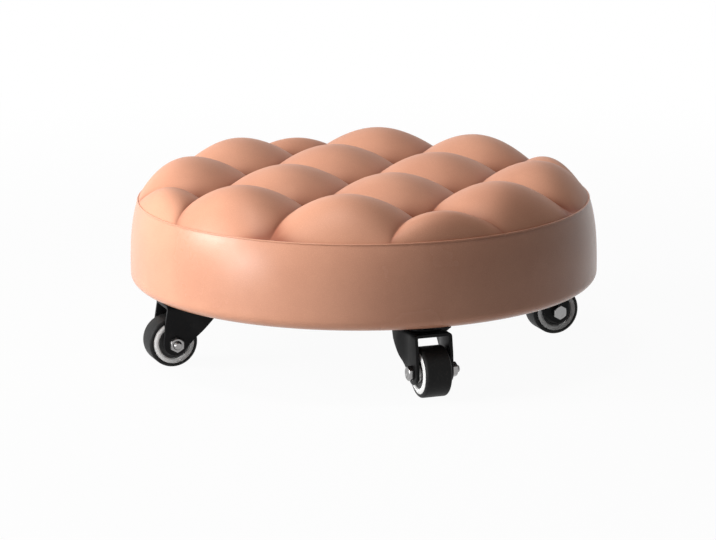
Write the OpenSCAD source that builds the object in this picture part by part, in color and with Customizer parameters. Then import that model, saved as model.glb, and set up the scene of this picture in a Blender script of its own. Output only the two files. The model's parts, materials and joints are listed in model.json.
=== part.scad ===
// Low rolling stool: a round seat with a deep tufted top on four twin-leg swivel casters.
// Millimetres, +Z up, origin on the floor under the middle of the seat, +X to the right
// of the side that is seen first.

/* [Seat] */
// Diameter of the seat at the widest line of its side band
seat_d = 360; // [330:5:420]
// Height of the side band from its lower fold up to the seam
band_h = 64.7; // [56:0.1:90]
// How far the seam lies inside the widest line
seam_inset = 6; // [3:0.5:8]
// Width of the rounded lower edge, measured inwards from the widest line
edge_round_w = 13.3; // [8:0.1:16]
// Height of the rounded lower edge
edge_round_h = 9.1; // [5:0.1:14]
// Thickness of the leather
leather_t = 1.2; // [0.8:0.1:2]
// Width of the leather turned in under the board
hem_w = 20; // [16:1:28]
// Thickness of the bead along the seam
bead_d = 1.6; // [1:0.1:2.2]

/* [Tufting] */
// Number of tufts in a row across the seat
tuft_rows = 4; // [4:2:6]
// Turn of the tuft rows from the X axis
tuft_turn = -23.7; // [-45:0.1:45]
// Height of the drawn-down knots over the seam
knot_rise = 6.2; // [3:0.1:9]
// How much lower the middle of the seat lies than its rim
middle_sag = 1; // [0:0.1:4]
// Rise of a fold halfway between two knots
fold_rise = 6.8; // [3:0.1:10]
// Rise of the top of a tuft over its knots
tuft_rise = 23.9; // [14:0.1:28]
// Fullness of a tuft: a lower power is fuller, with sharper folds
tuft_power = 0.78; // [0.6:0.01:1.2]
// Squareness of the rim: a higher power keeps the tufts full closer to the seam
rim_power = 13; // [6:0.5:16]
// Bluntness of the rim just over the seam
rim_blunt = 0.82; // [0.5:0.01:1]
// Depth of the tufted pad below the seam
pad_skirt = 6; // [4:0.5:10]

/* [Board and foam] */
// Thickness of the plywood board
board_t = 12; // [10:0.5:18]
// How far the board and the foam on it stay inside the fold of the lower edge
board_in = 0.7; // [0.4:0.1:6]
// Thickness of a tufting cord
cord_d = 1.8; // [1:0.1:3]
// Diameter of the disc that holds a tufting cord under the board
toggle_d = 12; // [8:0.5:14]
// Thickness of that disc
toggle_t = 1; // [0.6:0.1:3]
// Thickness of the black cloth under the seat
dust_t = 0.4; // [0.2:0.1:0.8]
// How far the black cloth's edge lies inside the fold of the lower edge
dust_in = 3; // [2:0.5:7]
// Number of staples through the black cloth
staple_count = 16; // [8:4:16]
// Width of a staple
staple_w = 10; // [6:0.5:12]
// Length of a staple's legs
staple_leg = 6; // [4:0.5:9]
// Thickness of the staple wire
staple_wire = 0.7; // [0.5:0.1:1]
// Distance of the staples from the edge of the black cloth
staple_in = 7; // [5:0.5:10]

/* [Caster places] */
// Distance of the swivel axes inside the widest line of the seat
caster_in = 39; // [38:0.5:60]
// Direction of the first swivel axis from the X axis
caster_turn = 18; // [0:0.5:45]
// Turn of every fork from the straight outward direction
fork_turn = 2; // [-30:1:30]

/* [Wheel] */
// Diameter of a wheel over its tyre
wheel_d = 38; // [34:0.5:46]
// Width of a wheel over its tyre
wheel_w = 23; // [18:0.5:30]
// Thickness of the tyre
tyre_t = 2; // [1.5:0.1:3]
// Width of the tyre's rounded shoulder on each side of its tread
tyre_shoulder = 3.5; // [2:0.1:6]
// Width of the pale ring that shows on each face of the wheel
ring_w = 5; // [3:0.1:6]
// How far the pale ring lies inside the tyre's side
ring_in = 0.4; // [0.2:0.1:1]
// Bevel on the pale ring's edges
ring_bevel = 0.5; // [0.2:0.1:0.8]
// Diameter of the hub
hub_d = 14; // [13:0.5:16]
// Thickness of the web between hub and ring
web_t = 6; // [4:0.5:10]
// Depth of the hub cap below the pale ring
cap_in = 1.2; // [0.6:0.1:3]
// Thickness of a hub cap
cap_t = 1.4; // [1:0.1:2.5]
// Depth of the round groove in a hub cap
cap_groove = 0.5; // [0.2:0.1:0.8]

/* [Fork] */
// Thickness of the fork's sheet
sheet_t = 2.5; // [2:0.1:3]
// Inner radius of the two bends of the fork
bend_in_r = 0.5; // [0.3:0.1:2]
// Clear height between wheel and fork
wheel_gap = 8; // [6:0.1:10]
// Clear width between a wheel's side and a leg
side_gap = 0.75; // [0.5:0.05:2]
// Reach of the fork's top from the swivel axis, away from the wheel
crown_in = 22.5; // [19:0.5:25]
// Reach of the fork's top from the swivel axis, towards the wheel
crown_out = 21; // [17:0.5:24]
// Distance from the swivel axis to the axle
trail = 15; // [12:0.5:18]
// Diameter of the rounded end of a leg
leg_end_d = 18; // [15:0.5:22]
// How far a leg swells past the fork's top on the wheel's side
knee_out = 2; // [1:0.1:4]
// Height of that swell below the fork's top
knee_drop = 13; // [9:0.5:15]

/* [Axle] */
// Diameter of the axle bolt
axle_d = 6; // [5:0.5:8]
// Outer diameter of the sleeve that the wheel turns on
sleeve_d = 9; // [8.5:0.5:10.5]
// Width of the bolt's head and nut across their flats
hex_w = 10; // [9:0.5:13]
// Height of the bolt's head
head_h = 4; // [3:0.1:5]
// Height of the nut
nut_h = 5; // [4:0.1:6]
// Length of thread standing out of the nut
thread_out = 2.4; // [1:0.1:4]

/* [Swivel] */
// Side of the square mounting plate
plate_side = 40; // [38:0.5:43]
// Turn of every mounting plate from the straight outward direction
plate_turn = -18; // [-18:1:18]
// Thickness of the mounting plate
plate_t = 2.2; // [2:0.1:3.5]
// Corner radius of the mounting plate
plate_corner = 4; // [2:0.5:6]
// Spacing of the plate's screw holes
screw_pitch = 30; // [28:0.5:31]
// Height between the mounting plate and the fork
bearing_h = 4; // [3.8:0.1:6]
// Diameter of the ball circle
race_d = 19; // [18:0.5:20]
// Diameter of a ball
ball_d = 3; // [2.4:0.1:3.4]
// Clear height between the two ball races
race_gap = 1; // [0.6:0.1:1.6]
// Width of the rim on each side of the balls
race_rim = 1; // [0.8:0.1:1.3]
// Diameter of the swivel pin
pin_d = 8; // [6:0.5:9]
// Diameter of the swivel pin's lower head
pin_head_d = 13; // [12:0.5:15]
// Height of the swivel pin's lower head
pin_head_h = 2; // [1.5:0.1:2.5]
// Depth of the swivel pin's sunk upper head
pin_sink = 1.5; // [1:0.1:1.8]

/* [Plate screws] */
// Diameter of a plate screw
screw_d = 4; // [3:0.1:4.5]
// Length of a plate screw from under its head to its tip
screw_len = 12; // [9:0.5:13]
// Diameter of a plate screw's head
screw_head_d = 7.5; // [6.5:0.1:8]
// Height of a plate screw's head
screw_head_h = 2.2; // [1.6:0.1:2.6]
// Diameter of the flat on top of that head
screw_flat_d = 5; // [4.4:0.1:6]
// Height of the straight rim of that head
screw_rim_h = 0.8; // [0.4:0.1:1.2]
// Length of a plate screw's tip
screw_tip = 3; // [2:0.1:4]

/* [Fits] */
// Radial clearance of what turns on a pin, a sleeve or balls
run_gap = 0.05; // [0.02:0.01:0.1]
// Clearance of what slides along its axis
end_gap = 0.25; // [0.1:0.05:0.5]
// Clearance round a screw in its hole
hole_gap = 0.25; // [0.1:0.05:0.5]
// Clearance between soft pieces that are not glued together
soft_gap = 0.3; // [0.2:0.05:0.5]

/* [Hidden] */
// Sides of every true circle
$fn = 64;
// Spare length of a cut past the face that it opens
cut = 1;

// Heights, from the floor up
axle_z = wheel_d / 2;
crown_low = wheel_d + wheel_gap;
crown_top = crown_low + sheet_t;
plate_low = crown_top + bearing_h;
plate_top = plate_low + plate_t;
seat_low = plate_top + dust_t;
board_low = seat_low + leather_t;
board_top = board_low + board_t;
wide_z = seat_low + edge_round_h;
seam_z = seat_low + band_h;
pad_low = seam_z - pad_skirt;

// Radii of the seat
seat_r = seat_d / 2;
seam_r = seat_r - seam_inset;
fold_r = seat_r - edge_round_w;
core_r = fold_r - board_in;
hem_r = fold_r - hem_w;
dust_r = fold_r - dust_in;
staple_r = dust_r - staple_in;
pad_r = seam_r - leather_t - soft_gap;
swivel_r = seat_r - caster_in;
// Turn of the staples that keeps them clear of the corners of turned mounting plates
staple_shift = plate_turn / 12;

// Power of the upper curve of the side band
band_power = 3;
// Straight pieces along the upper curve and round the lower edge
band_steps = 14;
edge_steps = 8;

// Tuft grid: one tuft is one unit, and the seat is a disc of grid_r units
grid_r = tuft_rows / 2;
tuft_pitch = pad_r / grid_r;
// Half the side of the square in the middle, where the grid is undistorted
core = grid_r - 1;
// Mesh cells wanted along the whole grid, then those along one tuft and the true total
mesh_cells = 32;
cells = round(mesh_cells / tuft_rows);
grid_n = cells * tuft_rows;
// Reach of a knot that is drawn through the board, in units
knot_reach = grid_r - 0.5;
KNOTS = [for (i = [-core:core]) for (j = [-core:core]) if (norm([i, j]) < knot_reach) [i, j]];
// Depth of a cord's upper end below the leather
cord_in = 1;

// Wheel and fork widths
tyre_r = wheel_d / 2;
ring_r = tyre_r - tyre_t;
cap_r = ring_r - ring_w;
ring_half = wheel_w / 2 - ring_in;
gap_w = wheel_w + 2 * side_gap;
fork_w = gap_w + 2 * sheet_t;
bend_r = bend_in_r + sheet_t;
hub_half = gap_w / 2 - end_gap;
cap_face = ring_half - cap_in;
// Flat rim on each side of a hub cap's groove, and the groove's slope
cap_rim = 1;
cap_slope = 0.5;
// Straight pieces round a tyre's shoulder
shoulder_steps = 6;
leg_end_r = leg_end_d / 2;

// Swivel bearing
race_r = race_d / 2;
race_boss_r = race_r + ball_d / 2 + race_rim;
race_h = (bearing_h - race_gap) / 2;
ball_z = crown_top + bearing_h / 2;
// Free space between neighbouring balls
ball_space = 0.4;
ball_count = floor(PI * race_d / (ball_d + ball_space));
pin_low = crown_low - end_gap - pin_head_h;
pin_bevel = 0.8;

// Screw head details
recess_w = 1.1;
recess_l = 4.2;
recess_h = 1.2;

PLACES = ["right", "rear", "left", "front"];
CASTER_NODES = ["mount_plate", "plate_screws", "swivel_balls", "king_pin", "fork", "axle_bolt",
    "axle_nut", "axle_sleeve", "wheel_core", "tyre", "hub_caps"];
SEAT_NODES = ["seat_board", "foam_core", "side_padding", "tufted_top", "side_band", "seam_bead",
    "dust_cover", "tuft_ties", "cover_staples"];

// Direction of the caster at place i, from the X axis
function caster_angle(i) = caster_turn + 360 / len(PLACES) * i;

// Side band outline, as [radius, height], from a top height down to the lower fold.
// inset is the distance inside the band's outer face.
function band_outline(inset, top) =
    let (first = (seam_z - top) / (seam_z - wide_z))
    concat(
        [for (i = [0:band_steps])
            let (t = first + (1 - first) * i / band_steps)
            [seat_r - inset - seam_inset * pow(1 - t, band_power), seam_z - t * (seam_z - wide_z)]],
        [for (i = [1:edge_steps])
            let (a = 90 * i / edge_steps)
            [fold_r + (edge_round_w - inset) * cos(a), wide_z - (edge_round_h - inset) * sin(a)]]);

function backwards(points) = [for (i = [len(points) - 1:-1:0]) points[i]];

// Grid line i of the tufts, with the lines closer together near the folds
function grid_line(i) = floor(i / cells) - grid_r + (1 - cos(180 * (i % cells) / cells)) / 2;

// Half-width of the disc at distance s from its middle
function disc_reach(s) = sqrt(grid_r * grid_r - s * s);

// Point of a corner of the grid, spread so that its outer sides follow the disc's edge
function corner_point(a, b) =
    let (
        wide = disc_reach(core),
        low = asin(core / grid_r),
        left_side = [core, core + b * (wide - core)],
        lower_side = [core + a * (wide - core), core],
        right_side = grid_r * [cos(low + b * (45 - low)), sin(low + b * (45 - low))],
        upper_side = grid_r * [sin(low + a * (45 - low)), cos(low + a * (45 - low))],
        tip = grid_r * [cos(45), sin(45)])
    (1 - a) * left_side + a * right_side + (1 - b) * lower_side + b * upper_side
        - (1 - a) * (1 - b) * [core, core] - a * (1 - b) * [wide, core]
        - (1 - a) * b * [core, wide] - a * b * tip;

// Grid point with both coordinates positive, moved from the square to the disc
function quarter_point(s, t) =
    s > core && t > core ? corner_point(s - core, t - core) :
    s > core ? [core + (s - core) * (disc_reach(t) - core), t] :
    t > core ? [s, core + (t - core) * (disc_reach(s) - core)] :
    [s, t];

function grid_point(s, t) =
    let (p = quarter_point(abs(s), abs(t)))
    [s < 0 ? -p[0] : p[0], t < 0 ? -p[1] : p[1]];

// Swell of the tufts across one row: nothing at a fold and full in the middle
function swell(s) = pow(abs(sin(180 * s)), tuft_power);

// Height of the tufted face at a point of the grid
function tuft_height(p) =
    let (
        out = min(1, norm(p) / grid_r),
        rim = pow(1 - pow(out, rim_power), rim_blunt),
        fold = fold_rise * (swell(p[0]) + swell(p[1])),
        peak = (tuft_rise - 2 * fold_rise) * swell(p[0]) * swell(p[1]))
    seam_z + rim * (knot_rise - middle_sag * (1 - out * out) + fold + peak);

// Index of the grid point at place k of the way round the grid's edge
function edge_index(k) =
    let (side = floor(k / grid_n), step = k % grid_n, row = grid_n + 1)
    side == 0 ? step :
    side == 1 ? step * row + grid_n :
    side == 2 ? grid_n * row + grid_n - step :
    (grid_n - step) * row;

// Point where a line from p touches the circle round c on the side that turn gives
function touch_point(p, c, r, turn) =
    let (d = p - c, a = atan2(d[1], d[0]) + turn * acos(r / norm(d)))
    c + r * [cos(a), sin(a)];

// Moves a piece of a caster from the floor's origin to place i, along the seat's radius
module at_swivel(i) {
    rotate(caster_angle(i)) translate([swivel_r, 0, 0]) children();
}

// The same for a piece that swivels with the fork
module at_fork(i) {
    at_swivel(i) rotate(fork_turn) children();
}

// Turns a piece drawn round the Z axis onto the axle
module on_axle() {
    translate([trail, 0, axle_z]) rotate([90, 0, 0]) children();
}

// Square with true round corners
module rounded_square(side, r) {
    square([side, side - 2 * r], center = true);
    square([side - 2 * r, side], center = true);
    for (x = [-1, 1])
        for (y = [-1, 1])
            translate([x * (side / 2 - r), y * (side / 2 - r)]) circle(r);
}

// Upright outline with two round top corners, standing on the X axis
module arch(w, h, r) {
    translate([-w / 2, 0]) square([w, h - r]);
    translate([-w / 2 + r, 0]) square([w - 2 * r, h]);
    for (side = [-1, 1])
        translate([side * (w / 2 - r), h - r]) circle(r);
}

// Places of the four plate screws round a swivel axis
module at_screws() {
    rotate(plate_turn)
        for (x = [-1, 1])
            for (y = [-1, 1])
                translate([x * screw_pitch / 2, y * screw_pitch / 2, 0]) children();
}

// Holes for all plate screws in the pieces of the seat
module screw_holes(d) {
    for (i = [0:len(PLACES) - 1])
        at_swivel(i) at_screws() translate([0, 0, plate_low]) cylinder(h = screw_len, d = d);
}

// Places of the staples, clear of the mounting plates
module at_staples() {
    for (i = [0:staple_count - 1])
        rotate(caster_turn + staple_shift + 360 / staple_count * (i + 0.5))
            translate([staple_r, 0, plate_top]) children();
}

// The two legs of a staple
module staple_legs() {
    for (side = [-1, 1])
        translate([-staple_wire / 2, side * (staple_w - staple_wire) / 2 - staple_wire / 2, 0])
            cube([staple_wire, staple_wire, staple_leg]);
}

// Places of the tufting cords
module at_knots() {
    rotate(tuft_turn)
        for (k = KNOTS)
            translate([k[0] * tuft_pitch, k[1] * tuft_pitch, 0]) children();
}

module seat_board() {
    color("burlywood")
        difference() {
            translate([0, 0, board_low]) cylinder(h = board_t, r = core_r, $fn = 128);
            at_knots() translate([0, 0, board_low - cut]) {
                cylinder(h = board_t + 2 * cut, d = cord_d);
                cylinder(h = toggle_t + cut, d = toggle_d + 2 * hole_gap);
            }
            screw_holes(screw_d);
            at_staples() staple_legs();
        }
}

module foam_core() {
    color("moccasin")
        difference() {
            translate([0, 0, board_top]) cylinder(h = pad_low - board_top, r = core_r, $fn = 128);
            at_knots() translate([0, 0, board_top - cut])
                cylinder(h = pad_low - board_top + 2 * cut, d = cord_d);
        }
}

// Foam strip round the board and the foam, which gives the side band its swell
module side_padding() {
    color("khaki")
        rotate_extrude($fn = 128)
            polygon(concat(
                band_outline(leather_t + soft_gap, pad_low),
                [[core_r, board_low + soft_gap], [core_r, pad_low]]));
}

// Tufted pad and its leather: a disc of tufts between knots, drawn down to the seam at the rim
module tufted_top() {
    row = grid_n + 1;
    edge_n = 4 * grid_n;
    grid = [for (j = [0:grid_n]) for (i = [0:grid_n]) grid_point(grid_line(i), grid_line(j))];
    top = [for (p = grid) [p[0] * tuft_pitch, p[1] * tuft_pitch, tuft_height(p)]];
    bottom = [for (k = [0:edge_n - 1]) [top[edge_index(k)][0], top[edge_index(k)][1], pad_low]];
    low = len(top);
    top_faces = [for (j = [0:grid_n - 1]) for (i = [0:grid_n - 1]) for (half = [0, 1])
        let (a = j * row + i, b = a + 1, c = b + row, d = a + row)
        (half == 0) ? [a, c, b] : [a, d, c]];
    side_faces = [for (k = [0:edge_n - 1]) for (half = [0, 1])
        let (next = (k + 1) % edge_n, a = edge_index(k), b = edge_index(next))
        (half == 0) ? [a, b, low + next] : [a, low + next, low + k]];
    color("darksalmon")
        rotate(tuft_turn)
            polyhedron(
                points = concat(top, bottom),
                faces = concat(top_faces, side_faces, [[for (k = [0:edge_n - 1]) low + k]]),
                convexity = 6);
}

// Leather side band with the hem that is turned in under the board
module side_band() {
    color("darksalmon")
        difference() {
            rotate_extrude($fn = 128)
                polygon(concat(
                    band_outline(0, seam_z),
                    [[hem_r, seat_low], [hem_r, board_low]],
                    backwards(band_outline(leather_t, seam_z))));
            screw_holes(screw_d);
            at_staples() staple_legs();
        }
}

// Rolled bead where the tufted top is sewn to the side band
module seam_bead() {
    color("indianred")
        translate([0, 0, seam_z + bead_d / 2])
            rotate_extrude($fn = 128) translate([seam_r - leather_t / 2, 0]) circle(bead_d / 2);
}

module dust_cover() {
    color("dimgray")
        difference() {
            translate([0, 0, plate_top]) cylinder(h = dust_t, r = dust_r, $fn = 128);
            screw_holes(screw_d);
            at_staples() staple_legs();
        }
}

// Nylon cords that draw the knots down, each with its disc sunk in the board's underside
module tuft_ties() {
    color("ivory")
        rotate(tuft_turn)
            for (k = KNOTS)
                translate([k[0] * tuft_pitch, k[1] * tuft_pitch, board_low]) {
                    cylinder(h = toggle_t, d = toggle_d);
                    cylinder(h = tuft_height(k) - cord_in - board_low, d = cord_d);
                }
}

module cover_staples() {
    color("silver")
        at_staples() {
            staple_legs();
            translate([-staple_wire / 2, -staple_w / 2, -staple_wire])
                cube([staple_wire, staple_w, staple_wire]);
        }
}

// Square plate with the pressed upper ball race under it
module mount_plate() {
    color("dimgray")
        difference() {
            union() {
                translate([0, 0, plate_low]) rotate(plate_turn)
                    linear_extrude(plate_t) rounded_square(plate_side, plate_corner);
                translate([0, 0, plate_low - race_h]) cylinder(h = race_h, r = race_boss_r);
            }
            at_screws() translate([0, 0, plate_low - cut])
                cylinder(h = plate_t + 2 * cut, d = screw_d + 2 * hole_gap);
            king_pin_shape();
            ball_groove();
        }
}

// Ring-shaped channel that the balls run in
module ball_groove() {
    translate([0, 0, ball_z]) rotate_extrude() translate([race_r, 0]) circle(ball_d / 2 + run_gap);
}

module plate_screws() {
    shank_r = screw_d / 2;
    head_r = screw_head_d / 2;
    color("silver")
        at_screws() translate([0, 0, plate_low])
            difference() {
                rotate_extrude()
                    polygon([
                        [0, -screw_head_h], [screw_flat_d / 2, -screw_head_h], [head_r, -screw_rim_h],
                        [head_r, 0], [shank_r, 0],
                        [shank_r, screw_len - screw_tip], [0, screw_len]]);
                for (turn = [0, 90])
                    rotate(turn) translate([-recess_l / 2, -recess_w / 2, -screw_head_h - cut])
                        cube([recess_l, recess_w, recess_h + cut]);
            }
}

module swivel_balls() {
    color("silver")
        for (i = [0:ball_count - 1])
            rotate(360 / ball_count * i) translate([race_r, 0, ball_z]) sphere(d = ball_d);
}

// Rivet that holds the fork to the plate: sunk head above, wide head below
module king_pin_shape() {
    pin_r = pin_d / 2;
    head_r = pin_head_d / 2;
    head_top = pin_low + pin_head_h;
    rotate_extrude()
        polygon([
            [0, pin_low], [head_r - pin_bevel, pin_low], [head_r, pin_low + pin_bevel], [head_r, head_top],
            [pin_r, head_top], [pin_r, plate_top - pin_sink], [pin_r + pin_sink, plate_top],
            [0, plate_top]]);
}

module king_pin() {
    color("gray") king_pin_shape();
}

// Cross-section of the folded fork, standing on the floor line
module fork_section() {
    difference() {
        arch(fork_w, crown_top, bend_r);
        translate([0, -cut]) arch(gap_w, crown_low + cut, bend_in_r);
    }
}

// Side outline of the fork: flat top, legs drawn in to a round end at the axle
module fork_outline() {
    axle = [trail, axle_z];
    knee = [crown_out + knee_out, crown_top - knee_drop - sheet_t];
    inner = touch_point([-crown_in, crown_low], axle, leg_end_r, 1);
    outer = touch_point(knee, axle, leg_end_r, -1);
    translate(axle) circle(leg_end_r);
    polygon([
        [-crown_in, crown_top + cut], [-crown_in, crown_low], inner, axle, outer, knee,
        [crown_out, crown_low], [crown_out, crown_top + cut]]);
}

// Fork folded from one sheet, with the pressed lower ball race on its top
module fork() {
    reach = trail + leg_end_d;
    color("#262626")
        difference() {
            union() {
                intersection() {
                    translate([-crown_in - cut, 0, 0])
                        rotate([90, 0, 90]) linear_extrude(crown_in + reach + cut) fork_section();
                    translate([0, fork_w / 2 + cut, 0])
                        rotate([90, 0, 0]) linear_extrude(fork_w + 2 * cut) fork_outline();
                }
                translate([0, 0, crown_low + sheet_t / 2]) cylinder(h = race_h + sheet_t / 2, r = race_boss_r);
            }
            translate([0, 0, crown_low - cut])
                cylinder(h = sheet_t + race_h + 2 * cut, d = pin_d + 2 * run_gap);
            ball_groove();
            on_axle() cylinder(h = fork_w + 2 * cut, d = axle_d + 2 * run_gap, center = true);
        }
}

// Bolt with its head on the right of the wheel, seen from the seat's middle
module axle_bolt() {
    color("silver")
        on_axle() {
            translate([0, 0, fork_w / 2]) cylinder(h = head_h, d = hex_w / cos(30), $fn = 6);
            translate([0, 0, -fork_w / 2 - nut_h - thread_out])
                cylinder(h = fork_w + nut_h + thread_out, d = axle_d);
        }
}

module axle_nut() {
    color("silver")
        on_axle()
            translate([0, 0, -fork_w / 2 - nut_h])
                difference() {
                    cylinder(h = nut_h, d = hex_w / cos(30), $fn = 6);
                    translate([0, 0, -cut]) cylinder(h = nut_h + 2 * cut, d = axle_d);
                }
}

// Steel tube clamped between the legs, which the wheel turns on
module axle_sleeve() {
    color("lightsteelblue")
        on_axle()
            difference() {
                cylinder(h = gap_w, d = sleeve_d, center = true);
                cylinder(h = gap_w + 2 * cut, d = axle_d + 2 * run_gap, center = true);
            }
}

// Moulded core: hub, web and the ring that shows on both faces
module wheel_core() {
    bore_r = sleeve_d / 2 + run_gap;
    hub_r = hub_d / 2;
    half = [
        [bore_r, hub_half], [hub_r, hub_half], [hub_r, web_t / 2], [cap_r, web_t / 2],
        [cap_r, ring_half - ring_bevel], [cap_r + ring_bevel, ring_half],
        [ring_r - ring_bevel, ring_half], [ring_r, ring_half - ring_bevel]];
    color("whitesmoke")
        on_axle()
            rotate_extrude() polygon(concat(half, backwards([for (p = half) [p[0], -p[1]]])));
}

// Soft tyre: flat tread between two shoulders that round down to the pale ring
module tyre() {
    half = [for (i = [0:shoulder_steps])
        let (a = 90 * i / shoulder_steps)
        [ring_r + tyre_t * sin(a), wheel_w / 2 - tyre_shoulder * (1 - cos(a))]];
    color("#1c1c1c")
        on_axle()
            rotate_extrude() polygon(concat(half, backwards([for (p = half) [p[0], -p[1]]])));
}

// Dark covers pressed into both faces of the core round the hub
module hub_caps() {
    hub_r = hub_d / 2;
    color("#303030")
        on_axle()
            for (side = [0, 1])
                mirror([0, 0, side])
                    rotate_extrude()
                        polygon([
                            [hub_r, cap_face - cap_t], [cap_r, cap_face - cap_t], [cap_r, cap_face],
                            [cap_r - cap_rim, cap_face],
                            [cap_r - cap_rim - cap_slope, cap_face - cap_groove],
                            [hub_r + cap_rim + cap_slope, cap_face - cap_groove],
                            [hub_r + cap_rim, cap_face], [hub_r, cap_face]]);
}

seat_board();
foam_core();
side_padding();
tufted_top();
side_band();
seam_bead();
dust_cover();
tuft_ties();
cover_staples();

for (i = [0:len(PLACES) - 1]) {
    place = PLACES[i];
    at_swivel(i) mount_plate();
    at_swivel(i) plate_screws();
    at_fork(i) swivel_balls();
    at_swivel(i) king_pin();
    at_fork(i) fork();
    at_fork(i) axle_bolt();
    at_fork(i) axle_nut();
    at_fork(i) axle_sleeve();
    at_fork(i) wheel_core();
    at_fork(i) tyre();
    at_fork(i) hub_caps();
}
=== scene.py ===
"""Looks of the low rolling stool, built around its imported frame.

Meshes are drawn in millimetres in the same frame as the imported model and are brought
to metres when they become pieces: origin on the floor under the middle of the seat,
+Z up, and the side that is seen first faces -Y.
"""

import json
import logging
import math
from collections.abc import Callable, Iterable, Sequence
from dataclasses import dataclass, field
from enum import Enum

import bmesh
import bpy
from mathutils import Matrix, Vector


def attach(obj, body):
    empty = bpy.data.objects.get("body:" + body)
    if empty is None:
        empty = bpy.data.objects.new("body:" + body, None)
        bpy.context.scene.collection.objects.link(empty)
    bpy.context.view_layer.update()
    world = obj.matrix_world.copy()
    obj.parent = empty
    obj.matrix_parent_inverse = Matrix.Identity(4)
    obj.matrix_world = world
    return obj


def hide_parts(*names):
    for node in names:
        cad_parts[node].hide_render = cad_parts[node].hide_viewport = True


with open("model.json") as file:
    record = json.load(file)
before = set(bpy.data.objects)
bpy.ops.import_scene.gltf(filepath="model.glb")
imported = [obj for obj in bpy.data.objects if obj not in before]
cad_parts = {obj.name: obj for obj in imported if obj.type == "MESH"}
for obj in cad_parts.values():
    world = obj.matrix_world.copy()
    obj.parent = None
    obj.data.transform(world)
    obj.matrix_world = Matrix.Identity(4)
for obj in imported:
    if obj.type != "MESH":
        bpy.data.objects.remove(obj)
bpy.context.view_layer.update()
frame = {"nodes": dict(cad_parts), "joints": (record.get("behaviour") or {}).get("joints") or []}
LOG = logging.getLogger("stool")

MM = 0.001
FULL_TURN = 2 * math.pi
UP = Vector((0, 0, 1))
Colour = tuple[float, float, float]
Triple = tuple[float, float, float]
Outline = list[tuple[float, float]]


class Place(Enum):
    """Where a caster stands under the seat."""

    RIGHT = "right"
    REAR = "rear"
    LEFT = "left"
    FRONT = "front"


class Effect(Enum):
    """Shader node groups that several finishes share."""

    HIDE_GRAIN = "hide_grain"
    EDGE_WEAR = "edge_wear"
    FINE_DUST = "fine_dust"
    METAL_STREAKS = "metal_streaks"


# Shader trees


class Graph:
    """Adds and joins the nodes of one shader tree."""

    def __init__(self, tree: bpy.types.NodeTree) -> None:
        """Keeps the tree that the nodes go into."""
        self.tree = tree

    def add(
        self, kind: str, values: dict[str, object] | None = None, **settings: object
    ) -> bpy.types.Node:
        """Adds one node.

        Args:
            kind: The node's type name.
            values: Starting values of its inputs, by socket name.
            settings: The node's own properties.

        Returns:
            The new node.
        """
        node = self.tree.nodes.new(kind)
        for name, value in settings.items():
            setattr(node, name, value)
        for name, value in (values or {}).items():
            node.inputs[name].default_value = value
        return node

    def join(self, source: bpy.types.NodeSocket, target: bpy.types.NodeSocket) -> None:
        """Links one socket to another."""
        self.tree.links.new(source, target)

    def feed(self, node: bpy.types.Node, socket: int | str, value: object) -> None:
        """Links a socket to a node's input, or sets the input to a plain value."""
        if isinstance(value, bpy.types.NodeSocket):
            self.join(value, node.inputs[socket])
        else:
            node.inputs[socket].default_value = value

    def maths(self, operation: str, first: object, second: object = 0.0) -> bpy.types.NodeSocket:
        """Adds a Math node and returns its result."""
        node = self.add("ShaderNodeMath", operation=operation)
        self.feed(node, 0, first)
        self.feed(node, 1, second)
        return node.outputs[0]

    def spread(
        self, value: object, low: float, high: float, to_low: float = 0.0, to_high: float = 1.0
    ) -> bpy.types.NodeSocket:
        """Maps low..high smoothly to to_low..to_high and returns the result."""
        node = self.add("ShaderNodeMapRange", interpolation_type="SMOOTHSTEP")
        for socket, part in enumerate((value, low, high, to_low, to_high)):
            self.feed(node, socket, part)
        return node.outputs[0]

    def blend(self, share: object, first: object, second: object) -> bpy.types.NodeSocket:
        """Mixes two colours by a share and returns the result."""
        node = self.add("ShaderNodeMix", data_type="RGBA")
        self.feed(node, 0, share)
        for socket, value in ((6, first), (7, second)):
            self.feed(node, socket, (*value, 1.0) if isinstance(value, tuple) else value)
        return node.outputs[2]

    def noise(
        self, vector: bpy.types.NodeSocket, scale: object, detail: float = 3.0, rough: float = 0.5
    ) -> bpy.types.NodeSocket:
        """Adds a Noise Texture on a vector and returns its factor."""
        node = self.add("ShaderNodeTexNoise", {"Detail": detail, "Roughness": rough})
        self.join(vector, node.inputs["Vector"])
        self.feed(node, "Scale", scale)
        return node.outputs[0]

    def stretch(self, vector: bpy.types.NodeSocket, scale: Triple) -> bpy.types.NodeSocket:
        """Stretches a vector by a Mapping node and returns it."""
        node = self.add("ShaderNodeMapping", {"Scale": scale})
        self.join(vector, node.inputs["Vector"])
        return node.outputs[0]

    def place(self) -> bpy.types.NodeSocket:
        """The piece's own coordinates, in metres."""
        return self.add("ShaderNodeTexCoord").outputs["Object"]

    def attribute(self, name: str) -> bpy.types.NodeSocket:
        """The factor of a named attribute of the mesh."""
        return self.add("ShaderNodeAttribute", attribute_name=name).outputs["Fac"]

    def effect(self, kind: Effect, **values: object) -> bpy.types.Node:
        """Places a shared effect in this tree with its own values."""
        node = self.add("ShaderNodeGroup")
        node.node_tree = effect_tree(kind)
        for name, value in values.items():
            self.feed(node, name, value)
        return node


def cleared(owner: bpy.types.Material | bpy.types.World) -> Graph:
    """Empties the shader tree of a material or a world and returns its graph."""
    owner.use_nodes = True
    owner.node_tree.nodes.clear()
    return Graph(owner.node_tree)


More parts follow.
